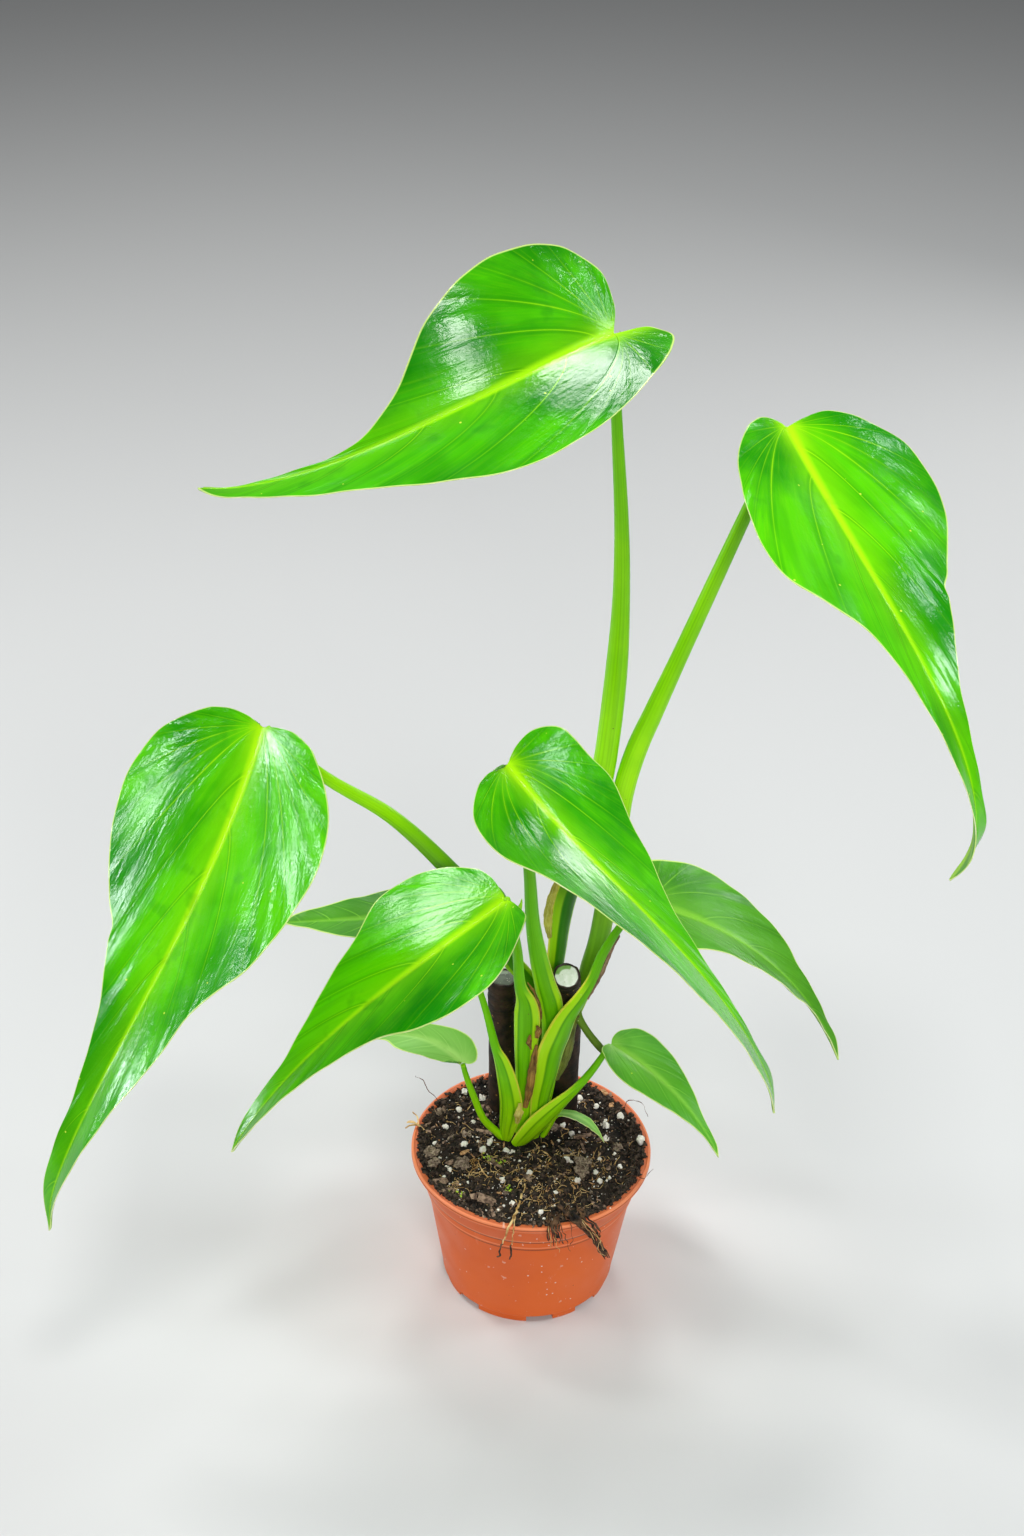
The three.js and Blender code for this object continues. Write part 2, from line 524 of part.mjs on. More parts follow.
// Where the vein that ends at a share of the margin leaves the midrib.
const veinRoot = (along) => Math.max(0, (along - 0.12) / 0.88);

function bladeSurface(blade, across) {
  const midrib = midribOf(blade);
  const margins = { left: marginOf(blade, "left"), right: marginOf(blade, "right") };
  const rows = margins.left.length;
  const vertices = [bladePoint(blade, midrib, 0, 0)];
  const shares = [0];
  const spine = [];
  for (let r = 0; r < rows; r += 1) {
    const root = veinRoot((margins.left[r][0] + margins.right[r][0]) / 2);
    if (root <= 0.004) {
      spine.push(0);
    } else {
      spine.push(vertices.length);
      vertices.push(bladePoint(blade, midrib, root, 0));
      shares.push(root);
    }
  }
  const tip = vertices.length;
  vertices.push(bladePoint(blade, midrib, 1, 0));
  shares.push(1);
  const triangles = [];
  const edges = {};
  for (const half of ["left", "right"]) {
    const sign = half === "left" ? -1 : 1;
    const grid = margins[half].map(([along, width], r) => {
      const root = spine[r] === 0 ? 0 : shares[spine[r]];
      const row = [spine[r]];
      for (let k = 1; k <= across; k += 1) {
        const t = k / across;
        row.push(vertices.length);
        vertices.push(bladePoint(blade, midrib, root + (along - root) * t, sign * width * t));
        shares.push(null);
      }
      return row;
    });
    const add = (a, b, c) => {
      if (a !== b && b !== c && a !== c) triangles.push(sign > 0 ? [a, b, c] : [a, c, b]);
    };
    for (let k = 0; k < across; k += 1) {
      for (let r = 0; r < rows - 1; r += 1) {
        add(grid[r][k], grid[r][k + 1], grid[r + 1][k + 1]);
        add(grid[r][k], grid[r + 1][k + 1], grid[r + 1][k]);
      }
      add(grid[rows - 1][k], grid[rows - 1][k + 1], tip);
    }
    edges[half] = [...grid[0].slice(1), ...grid.slice(1).map((row) => row[across])];
  }
  const loop = [0, ...edges.right, tip, ...edges.left.reverse()];
  return { vertices, triangles, loop, shares };
}

function buildBlade(blade, grow = 0) {
  const across = blade.length > 100 ? 4 : 3;
  const { vertices, triangles, loop, shares } = bladeSurface(blade, across);
  const normals = vertices.map(() => new THREE.Vector3());
  for (const [a, b, c] of triangles) {
    const normal = vertices[b].clone().sub(vertices[a]).cross(vertices[c].clone().sub(vertices[a]));
    for (const i of [a, b, c]) normals[i].add(normal);
  }
  const half = BLADE_THICKNESS / 2 + grow;
  const count = vertices.length;
  const under = vertices.map((v, i) => {
    const rib = shares[i] === null ? 0 : MIDRIB_DEPTH * (1 - 0.85 * shares[i]);
    const depth = half + rib * Math.min(1, blade.length / 150);
    return v.clone().addScaledVector(normals[i].normalize(), depth);
  });
  const over = vertices.map((v, i) => v.clone().addScaledVector(normals[i], -half));
  const all = [...over, ...under];
  const faces = triangles.flatMap(([a, b, c]) => [[a, c, b], [a + count, b + count, c + count]]);
  loop.forEach((a, i) => {
    const b = loop[(i + 1) % loop.length];
    faces.push([a, b, b + count], [a, b + count, a + count]);
  });
  return solidFrom(all, faces);
}

// A section of a stalk: round at channel 0, a half moon open to +v at channel 1.
function sectionOf(width, depth, channel, sides) {
  const points = [];
  const edge = Math.min(0.7, depth * 0.4);
  const wall = Math.min(1.5, depth * 0.45);
  const bulge = THREE.MathUtils.lerp(depth / 2 - edge, wall - depth / 2 - edge / 2, channel);
  for (let i = 0; i <= sides; i += 1) {
    const angle = (Math.PI * i) / sides;
    points.push([(width / 2) * Math.cos(angle), (-depth / 2) * Math.sin(angle)]);
  }
  for (let i = 0; i <= sides; i += 1) {
    const angle = Math.PI - (Math.PI * i) / sides;
    points.push([(width / 2) * Math.cos(angle), edge + bulge * Math.sin(angle)]);
  }
  return points;
}

function sweep(route, channelWay, grow = 0, perSpan = 2, sides = 5) {
  const places = route.map(([x, y, z]) => new THREE.Vector3(x, y, z));
  const middle = new THREE.CatmullRomCurve3(places, false, "centripetal");
  const spans = route.length - 1;
  const rings = spans * perSpan;
  const way = new THREE.Vector3(...channelWay).normalize();
  const vertices = [];
  for (let r = 0; r <= rings; r += 1) {
    const t = r / rings;
    const i = Math.min(Math.floor(t * spans), spans - 1);
    const share = t * spans - i;
    const between = (k) => THREE.MathUtils.lerp(route[i][k], route[i + 1][k], share);
    const [width, depth, channel] = [between(3), between(4), between(5)];
    const forward = middle.getTangent(t);
    const open = way.clone().addScaledVector(forward, -way.dot(forward)).normalize();
    const side = forward.clone().cross(open);
    const end = r === 0 ? -grow : r === rings ? grow : 0;
    const centre = middle.getPoint(t).addScaledVector(forward, end);
    for (const [u, v] of sectionOf(width + 2 * grow, depth + 2 * grow, grow ? 0 : channel, sides)) {
      vertices.push(centre.clone().addScaledVector(side, u).addScaledVector(open, v));
    }
  }
  const count = vertices.length / (rings + 1);
  const triangles = [];
  for (let r = 0; r < rings; r += 1) {
    for (let i = 0; i < count; i += 1) {
      const j = (i + 1) % count;
      triangles.push([r * count + i, (r + 1) * count + j, r * count + j]);
      triangles.push([r * count + i, (r + 1) * count + i, (r + 1) * count + j]);
    }
  }
  for (let i = 1; i < count - 1; i += 1) {
    triangles.push([0, i, i + 1]);
    triangles.push([rings * count, rings * count + i + 1, rings * count + i]);
  }
  return solidFrom(vertices, triangles);
}

function roundStem(rows, grow = 0) {
  return sweep(rows.map(([x, y, z, d]) => [x, y, z, d, d, 0]), [0, 1, 0.001], grow, 2, 6);
}

const blades = {};
const grownBlades = {};
for (const [name, blade] of Object.entries(BLADES)) {
  blades[name] = buildBlade(blade);
  grownBlades[name] = buildBlade(blade, GAP);
}

const [crownX, crownY] = CROWN.centre;
const crown = upright(crownX, crownY, CROWN.radius - 1, CROWN.radius, STEM_DEPTH, CROWN.top);
const crownReach = CROWN.radius + GAP;
const grownCrown = upright(crownX, crownY, crownReach, crownReach, STEM_DEPTH, CROWN.top + GAP);

// Each later stalk, stem or scrap gives way to those before it in this list.
const taken = [grownCrown];
const woody = {};
function settle(name, solid, grown) {
  const trimmed = taken.reduce((left, other) => left.subtract(other), solid);
  woody[name] = largest(trimmed);
  taken.push(grown);
}

// A stalk stops short of its own blade on all sides.
function clearOfBlade(stalk, grownBlade) {
  const ways = [[0, 0, 0], [GAP, 0, 0], [-GAP, 0, 0], [0, GAP, 0], [0, -GAP, 0], [0, 0, -GAP]];
  return largest(ways.reduce((left, way) => left.subtract(grownBlade.translate(way)), stalk));
}

for (const [name, { route, channel }] of Object.entries(STALKS)) {
  const clear = clearOfBlade(sweep(route, channel), grownBlades[name]);
  settle(`stalk_${name}`, clear, sweep(route, channel, GAP));
}
for (const [name, rows] of Object.entries(STUBS)) {
  settle(name, roundStem(rows), roundStem(rows, GAP));
}
const { route: rootRoute, channel: rootChannel } = AERIAL_ROOT;
settle("aerial_root", sweep(rootRoute, rootChannel), sweep(rootRoute, rootChannel, GAP));
for (const [name, { route, channel }] of Object.entries(SCRAPS)) {
  settle(name, sweep(route, channel, 0, 2, 3), sweep(route, channel, GAP, 2, 3));
}

const plainHole = (x, y, radius) => upright(x, y, radius, radius, STEM_DEPTH - GAP, 2 * POT_HEIGHT);
const holes = [
  plainHole(crownX, crownY, CROWN.radius + 1.2 * GAP),
  ...Object.values(STUBS).map(([[x, y, , width]]) => plainHole(x, y, width / 2 + 3 * GAP)),
];

const group = new THREE.Group();
group.name = "potted_monstera";
group.add(meshOf("pot", buildPot(), FINISH.terracotta_plastic));
group.add(meshOf("soil", buildSoil(holes), FINISH.potting_soil));
group.add(meshOf("crown", crown, FINISH.old_stem));
for (const [name, solid] of Object.entries(blades)) {
  const gloss = BLADES[name].length > 150;
  group.add(meshOf(`blade_${name}`, solid, gloss ? FINISH.leaf_gloss : FINISH.leaf_matt));
}
for (const [name, solid] of Object.entries(woody)) {
  const finish = name.startsWith("stalk") || name === "aerial_root" ? FINISH.stalk_green
    : name.startsWith("stub") ? FINISH.old_stem : FINISH.dry_sheath;
  group.add(meshOf(name, solid, finish));
}

export default group;
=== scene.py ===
# %% [markdown]
# # A young flame monstera in its nursery pot
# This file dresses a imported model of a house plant: ten glossy leaves with long drawn-out tips, on
# stalks that open into sheaths, beside two cut old stems, in peat and perlite, in a terracotta-coloured
# plastic pot. The model is the fixed frame. Everything here is made round it, in its place and size.
# Lengths in the tables are millimetres, as on a drawing. MM turns them into Blender's metres.

# %% Load the frame
import math
import random

import bmesh
import bpy
import numpy as np
from mathutils import Matrix, Vector, noise
from mathutils.bvhtree import BVHTree


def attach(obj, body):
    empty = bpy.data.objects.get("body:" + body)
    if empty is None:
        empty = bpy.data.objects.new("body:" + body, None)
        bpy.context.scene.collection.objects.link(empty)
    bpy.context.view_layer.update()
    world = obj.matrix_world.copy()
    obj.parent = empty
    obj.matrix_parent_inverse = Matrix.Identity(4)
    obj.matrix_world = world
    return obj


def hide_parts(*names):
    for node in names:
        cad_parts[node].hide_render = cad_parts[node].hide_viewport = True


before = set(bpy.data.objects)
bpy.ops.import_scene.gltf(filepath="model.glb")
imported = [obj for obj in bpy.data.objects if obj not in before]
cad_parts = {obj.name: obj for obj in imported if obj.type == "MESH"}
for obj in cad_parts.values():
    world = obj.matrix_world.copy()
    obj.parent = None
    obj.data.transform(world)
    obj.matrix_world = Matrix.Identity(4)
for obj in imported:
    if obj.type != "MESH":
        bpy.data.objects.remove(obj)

MM = 0.001
# Without a seed, Blender's vector noise starts from the clock and crumples the grains anew in each run.
noise.seed_set(41)
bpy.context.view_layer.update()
print("pieces in the frame:", len(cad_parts))

# %% [markdown]
# ## Camera
# The photograph was taken from a little over a metre away, from above the leaves, with the camera tipped
# down by a third of a right angle and turned by a degree and a half. A 60 mm lens on a 36 mm sensor gives
# its narrow, calm perspective. The camera is made first, because every later choice is judged through it.

# %% Camera
CAMERA_PLACE = Vector((-14.85, -966, 946)) * MM
CAMERA_PITCH = 33.5
CAMERA_ROLL = 1.6
camera_data = bpy.data.cameras.new("camera")
camera_data.lens = 60
camera_data.sensor_width = 36
camera = bpy.data.objects.new("camera", camera_data)
bpy.context.scene.collection.objects.link(camera)
pitch = Matrix.Rotation(math.radians(90 - CAMERA_PITCH), 4, "X")
roll = Matrix.Rotation(math.radians(CAMERA_ROLL), 4, "Z")
camera.matrix_world = Matrix.Translation(CAMERA_PLACE) @ pitch @ roll
bpy.context.scene.camera = camera
print("camera at", tuple(round(x, 3) for x in CAMERA_PLACE))

# %% [markdown]
# ## Helpers for meshes
# Most pieces of a plant are sheets or rods that follow a curve. Both start here as Blender's flat grid,
# whose points are then laid on the form: a blade, or a tube rolled round a stalk. The grid brings even
# faces, and each corner keeps its place on the grid in UV maps, which the finishes read later. Where
# points of the grid fall together, at a tip or along a tube's seam, they are merged, so the form closes.

# %% Mesh helpers
def deselect_all():
    bpy.ops.object.select_all(action="DESELECT")


def choose(*pieces):
    """Selects these pieces and no others, and makes the first one active."""
    deselect_all()
    for piece in pieces:
        piece.select_set(True)
    bpy.context.view_layer.objects.active = pieces[0]


def edit(piece):
    """Puts one piece, all of it selected, in edit mode."""
    choose(piece)
    bpy.ops.object.mode_set(mode="EDIT")
    bpy.ops.mesh.select_all(action="SELECT")


def leave_edit():
    bpy.ops.object.mode_set(mode="OBJECT")


def make_closed(piece, distance=0.002):
    """Merges points that lie together and turns all faces outwards."""
    edit(piece)
    bpy.ops.mesh.remove_doubles(threshold=distance * MM)
    bpy.ops.mesh.dissolve_degenerate(threshold=distance * MM)
    bpy.ops.mesh.normals_make_consistent(inside=False)
    leave_edit()


def grid_piece(name, columns, rows, form):
    """A grid laid on a form. form(u, v) gives points in mm and UV maps, for u and v from 0 to 1."""
    deselect_all()
    bpy.ops.mesh.primitive_grid_add(x_subdivisions=columns, y_subdivisions=rows, size=2)
    piece = bpy.context.object
    piece.name = piece.data.name = name
    mesh = piece.data
    flat = np.empty(len(mesh.vertices) * 3)
    mesh.vertices.foreach_get("co", flat)
    points, maps = form((flat[0::3] + 1) / 2, (flat[1::3] + 1) / 2)
    mesh.vertices.foreach_set("co", (points * MM).ravel())
    corners = np.empty(len(mesh.loops), dtype=np.int32)
    mesh.loops.foreach_get("vertex_index", corners)
    while mesh.uv_layers:
        mesh.uv_layers.remove(mesh.uv_layers[0])
    for map_name, values in maps.items():
        layer = mesh.uv_layers.new(name=map_name)
        layer.uv.foreach_set("vector", values[corners].ravel())
    mesh.update()
    return piece


def apply_modifiers(piece):
    choose(piece)
    for modifier in list(piece.modifiers):
        bpy.ops.object.modifier_apply(modifier=modifier.name)


def smooth(piece, degrees=50):
    choose(piece)
    bpy.ops.object.shade_smooth_by_angle(angle=math.radians(degrees))


def settle(piece, slot, materials, *nodes):
    """Gives a finished piece its finish, its body and the nodes it stands for."""
    piece.data.materials.clear()
    for material in materials:
        piece.data.materials.append(material)
    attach(piece, "root")
    if nodes:
        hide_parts(*nodes)
    print(piece.name, len(piece.data.polygons), "faces")


def curve_through(points, t):
    """A smooth curve through the points, at places t from 0 to the number of spans."""
    points = np.asarray(points, float)
    t = np.asarray(t, float)
    ends = np.vstack([2 * points[0] - points[1], points, 2 * points[-1] - points[-2]])
    i = np.clip(np.floor(t).astype(int), 0, len(points) - 2)
    f = (t - i)[:, None]
    p0, p1, p2, p3 = (ends[i + k] for k in range(4))
    spans = [np.linalg.norm(b - a, axis=1) for a, b in ((p0, p1), (p1, p2), (p2, p3))]
    d0, d1, d2 = (np.maximum(np.sqrt(span), 1e-6)[:, None] for span in spans)
    m1 = ((p1 - p0) / d0 - (p2 - p0) / (d0 + d1) + (p2 - p1) / d1) * d1
    m2 = ((p2 - p1) / d1 - (p3 - p1) / (d1 + d2) + (p3 - p2) / d2) * d1
    c2 = -3 * p1 + 3 * p2 - 2 * m1 - m2
    c3 = 2 * p1 - 2 * p2 + m1 + m2
    return p1 + f * (m1 + f * (c2 + f * c3))


def unit(vectors):
    return vectors / np.maximum(np.linalg.norm(vectors, axis=-1, keepdims=True), 1e-9)


def ease(x, low, high):
    """A soft step from 0 at low to 1 at high."""
    x = np.clip((np.asarray(x, float) - low) / (high - low), 0, 1)
    return x * x * (3 - 2 * x)


print("mesh helpers ready")

# %% [markdown]
# ## Helpers for finishes
# Each finish is a node tree on one Principled shader. Plain values go straight on the shader's sockets.
# Patterns come from noise on Object coordinates, which stay fixed to the plant, or from the UV maps that
# the grids carry, where a pattern has to follow a vein or a stalk.

# %% Finish helpers
class Finish:
    """A material and the shorthand to build its nodes."""

    def __init__(self, name, **sockets):
        self.material = bpy.data.materials.new(name)
        self.material.use_nodes = True
        self.nodes = self.material.node_tree.nodes
        self.links = self.material.node_tree.links
        self.shader = self.nodes["Principled BSDF"]
        for socket, value in sockets.items():
            self.set(self.shader, socket.replace("_", " "), value)
        self.colour = self.normal = None

    def set(self, node, socket, value):
        target = node.inputs[socket]
        if isinstance(value, bpy.types.NodeSocket):
            self.links.new(value, target)
        elif isinstance(value, tuple) and len(value) == 3 and target.type == "RGBA":
            target.default_value = (*value, 1)
        else:
            target.default_value = value

    def add(self, kind, sockets=None, out=0, **settings):
        """A node with its settings and sockets. Returns one of its outputs."""
        node = self.nodes.new("ShaderNode" + kind)
        for key, value in settings.items():
            setattr(node, key, value)
        for socket, value in (sockets or {}).items():
            self.set(node, socket, value)
        return node.outputs[out]

    def place(self):
        return self.add("TexCoord", out="Object")

    def chart(self, name):
        """The two values of one of the piece's UV maps."""
        split = self.add("SeparateXYZ", {0: self.add("UVMap", uv_map=name)}).node
        return split.outputs[0], split.outputs[1]

    def math(self, operation, a, b=0.0):
        return self.add("Math", {0: a, 1: b}, operation=operation)

    def times(self, a, b):
        return self.math("MULTIPLY", a, b)

    def off(self, a, b):
        """How far one value is from another."""
        return self.math("ABSOLUTE", self.math("SUBTRACT", a, b))

    def noise(self, scale, vector=None, detail=3.0, roughness=0.5):
        sockets = {"Vector": vector or self.place(), "Scale": scale, "Detail": detail, "Roughness": roughness}
        return self.add("TexNoise", sockets)

    def between(self, value, low, high, to_low=0.0, to_high=1.0):
        """Maps a value softly from low and high to two new values."""
        sockets = {"Value": value, "From Min": low, "From Max": high, "To Min": to_low, "To Max": to_high}
        return self.add("MapRange", sockets, interpolation_type="SMOOTHSTEP")

    def clouds(self, scale, low, high, to_low=0.0, to_high=1.0, **settings):
        """Soft patches of noise, mapped from low and high to two values."""
        return self.between(self.noise(scale, **settings), low, high, to_low, to_high)

    def mix(self, share, a, b, blend="MIX"):
        node = self.nodes.new("ShaderNodeMix")
        node.data_type = "RGBA"
        node.blend_type = blend
        for socket, value in ((0, share), (6, a), (7, b)):
            self.set(node, socket, value)
        return node.outputs[2]

    def paint(self, share, colour):
        """Lays a colour over those laid before, as strong as a pattern says."""
        self.colour = self.mix(share, self.colour, colour)

    def vector(self, x, y, z=0.0):
        return self.add("CombineXYZ", {0: x, 1: y, 2: z})

    def bump(self, height, distance, strength):
        """Raises a pattern by a distance in mm, over the bumps made before."""
        sockets = {"Height": height, "Distance": distance * MM, "Strength": strength}
        if self.normal is not None:
            sockets["Normal"] = self.normal
        self.normal = self.add("Bump", sockets)

    def specks(self, scale, size, chance):
        """Scattered round specks: 1 inside a speck, 0 outside."""
        cells = self.add("TexVoronoi", {"Vector": self.place(), "Scale": scale}).node
        near = self.between(cells.outputs["Distance"], size, size * 0.6)
        pick = self.add("SeparateXYZ", {0: cells.outputs["Color"]})
        return self.times(near, self.math("LESS_THAN", pick, chance))

    def finish(self, roughness):
        """Puts the painted colour, the roughness and the bumps on the shader."""
        for socket, value in (("Base Color", self.colour), ("Roughness", roughness), ("Normal", self.normal)):
            if value is not None:
                self.set(self.shader, socket, value)
        return self.material


print("finish helpers ready")

# %% [markdown]
# ## Finishes of the leaves
# The upper side is a wet-looking, saturated green with clouds of darker and lighter green, a broad lime
# midrib, thin lighter side veins and a pale line along the margin. Painted shade darkens the green beside
# each vein and in streaks along the veins. Fine wrinkles run with the veins and break up the reflections.
# The highest leaf, nearest the lights, gets a darker copy of the glossy finish, as painted shade. The small
# leaves have less wax and look greyer. The underside is pale and dull.
# A blade carries three UV maps. "veins" counts side veins in its first value and holds the distance from
# the midrib in its second, in centimetres. "edge" holds the distance to the margin along a vein, in
# centimetres, and how far along the blade a point lies, from 0 to 1. "spread" holds how far apart the
# side veins lie, in centimetres, and which share of the way from the midrib to the margin a point is at.

# %% Leaf finishes
def leaf_upper(
    name, deep, light, lime, roughness=0.13, gloss_break=0.6, vein_strength=0.6, specular=0.32,
):
    leaf = Finish(name, Specular_IOR_Level=specular)
    vein, across = leaf.chart("veins")
    edge, along = leaf.chart("edge")
    spacing, share = leaf.chart("spread")
    off_midrib = leaf.math("ABSOLUTE", across)
    apart = leaf.between(spacing, 0.15, 1.1)
    clouds = leaf.clouds(13.0, 0.38, 0.6, detail=4.0)
    leaf.colour = leaf.mix(clouds, deep, light)
    fibre_place = leaf.vector(leaf.times(vein, 9.0), leaf.times(across, 0.6))
    fibres = leaf.noise(1.6, fibre_place, detail=4.0, roughness=0.6)
    leaf.paint(leaf.between(fibres, 0.45, 0.75, 0.0, 0.1), lime)
    # Painted shade: darker streaks along the veins, for the shallow bands between them.
    streak_place = leaf.vector(leaf.times(vein, 1.6), leaf.times(across, 0.4))
    painted_band_shade = leaf.times(leaf.between(leaf.noise(1.1, streak_place), 0.42, 0.62, 0.0, 0.32), apart)
    leaf.paint(painted_band_shade, deep)
    fade = leaf.between(along, 0.0, 0.8, 1.0, 0.45)
    glow = leaf.times(leaf.between(off_midrib, 1.7, 0.1, 0.0, 0.6), fade)
    leaf.paint(glow, leaf.mix(0.35, light, lime))
    line = leaf.times(leaf.math("PINGPONG", vein, 0.5), spacing)
    fine_line = leaf.math("ADD", line, leaf.between(apart, 0.0, 0.6, 0.022, 0.0))
    picked = leaf.noise(0.9, leaf.vector(vein, leaf.math("SIGN", across)), detail=1.0)
    bolder = leaf.between(picked, 0.35, 0.65, 0.35, 1.0)
    vein_mask = leaf.times(leaf.between(fine_line, 0.055, 0.015), bolder)
    fading = leaf.times(leaf.between(share, 0.98, 0.3, 0.15, 1.0), vein_strength)
    leaf.paint(leaf.times(vein_mask, fading), lime)
    soft_line = leaf.times(leaf.between(line, 0.15, 0.04, 0.0, 0.3), fading)
    leaf.paint(soft_line, leaf.mix(0.4, light, lime))
    # Painted shade beside each vein line, where the blade dips.
    shade = leaf.times(leaf.between(line, 0.3, 0.14, 0.0, 0.3), apart)
    leaf.paint(leaf.times(shade, leaf.math("SUBTRACT", 1.0, vein_mask)), deep)
    rib_width = leaf.between(along, 0.0, 1.0, 0.21, 0.05)
    rib = leaf.between(leaf.math("DIVIDE", off_midrib, rib_width), 1.8, 0.3)
    leaf.paint(leaf.times(rib, fade), lime)
    blotches = leaf.clouds(60.0, 0.6, 0.72, 0.0, 0.3, detail=3.0)
    leaf.paint(blotches, deep)
    top_end = leaf.between(along, 0.1, 0.0, 0.0, 0.5)
    leaf.paint(leaf.times(top_end, leaf.between(off_midrib, 0.9, 0.2)), lime)
    leaf.paint(leaf.specks(150.0, 0.09, 0.2), (0.6, 0.78, 0.06))
    leaf.paint(leaf.specks(70.0, 0.05, 0.1), (0.02, 0.1, 0.005))
    rim = leaf.between(edge, 0.1, 0.04)
    leaf.paint(leaf.times(rim, 0.8), (0.72, 0.9, 0.25))
    ripple_place = leaf.vector(leaf.times(vein, 2.4), leaf.times(across, 1.9), along)
    ripples = leaf.times(leaf.noise(1.5, ripple_place, detail=3.0, roughness=0.5), apart)
    creases = leaf.noise(260.0, detail=3.0, roughness=0.6)
    leaf.bump(leaf.times(fibres, apart), 0.05, gloss_break)
    leaf.bump(ripples, 0.4, gloss_break)
    leaf.bump(creases, 0.22, gloss_break)
    leaf.bump(leaf.noise(900.0, detail=1.0), 0.06, 0.3)
    shine = leaf.clouds(60.0, 0.3, 0.7, roughness, roughness + 0.1, detail=3.0)
    return leaf.finish(shine)


def leaf_lower():
    leaf = Finish("leaf_underside", Specular_IOR_Level=0.35)
    vein, across = leaf.chart("veins")
    off_midrib = leaf.math("ABSOLUTE", across)
    leaf.colour = leaf.mix(leaf.clouds(40.0, 0.3, 0.7), (0.1, 0.33, 0.045), (0.19, 0.45, 0.08))
    line_mask = leaf.between(leaf.math("PINGPONG", vein, 0.5), 0.13, 0.02, 0.0, 0.7)
    leaf.paint(line_mask, (0.34, 0.6, 0.12))
    rib = leaf.between(off_midrib, 0.3, 0.1)
    leaf.paint(rib, (0.38, 0.66, 0.08))
    fibres = leaf.noise(2.0, leaf.vector(leaf.times(vein, 6.0), across), detail=4.0)
    leaf.bump(fibres, 0.3, 0.5)
    leaf.bump(line_mask, 0.2, 0.6)
    return leaf.finish(0.55)


def leaf_margin():
    leaf = Finish("leaf_margin", Specular_IOR_Level=0.4)
    edge, along = leaf.chart("edge")
    leaf.colour = leaf.mix(leaf.clouds(120.0, 0.35, 0.65), (0.6, 0.8, 0.2), (0.85, 0.9, 0.5))
    leaf.paint(leaf.between(along, 0.05, 0.015), (0.3, 0.72, 0.006))
    return leaf.finish(0.45)


LEAF_GLOSS = leaf_upper("leaf_gloss", (0.008, 0.27, 0.0), (0.1, 0.63, 0.0), (0.46, 0.93, 0.006))
# A darker copy of the glossy finish for the highest leaf: painted shade.
LEAF_GLOSS_SHADED = leaf_upper("leaf_gloss_shaded", (0.004, 0.2, 0.0), (0.06, 0.48, 0.0), (0.4, 0.88, 0.005))
LEAF_MATT = leaf_upper(
    "leaf_matt", (0.03, 0.2, 0.003), (0.09, 0.38, 0.012), (0.24, 0.6, 0.04), roughness=0.3, vein_strength=0.8,
)
LEAF_YOUNG = leaf_upper(
    "leaf_young", (0.06, 0.34, 0.01), (0.14, 0.52, 0.035), (0.3, 0.7, 0.07),
    roughness=0.28, vein_strength=0.7, specular=0.4,
)
LEAF_PALE = leaf_upper(
    "leaf_pale", (0.13, 0.42, 0.035), (0.22, 0.55, 0.08), (0.4, 0.72, 0.16),
    roughness=0.44, gloss_break=0.5, vein_strength=0.5, specular=0.4,
)
LEAF_UNDER = leaf_lower()
LEAF_MARGIN = leaf_margin()
print("leaf finishes ready")

# %% [markdown]
# ## The blades
# Each blade hangs on one midrib that bends in three ways along its length: heading, dip and roll. The two
# halves rise from it like shallow wings and droop at the margin. A flat grid laid on that form keeps the
# rows of the grid along the side veins, so the veins need no drawing by hand. The solidify modifier then
# gives the sheet its thickness, with a vertex group that makes it thick under the midrib and thin at the
# margin. That is how a real blade is built, and it closes the mesh.

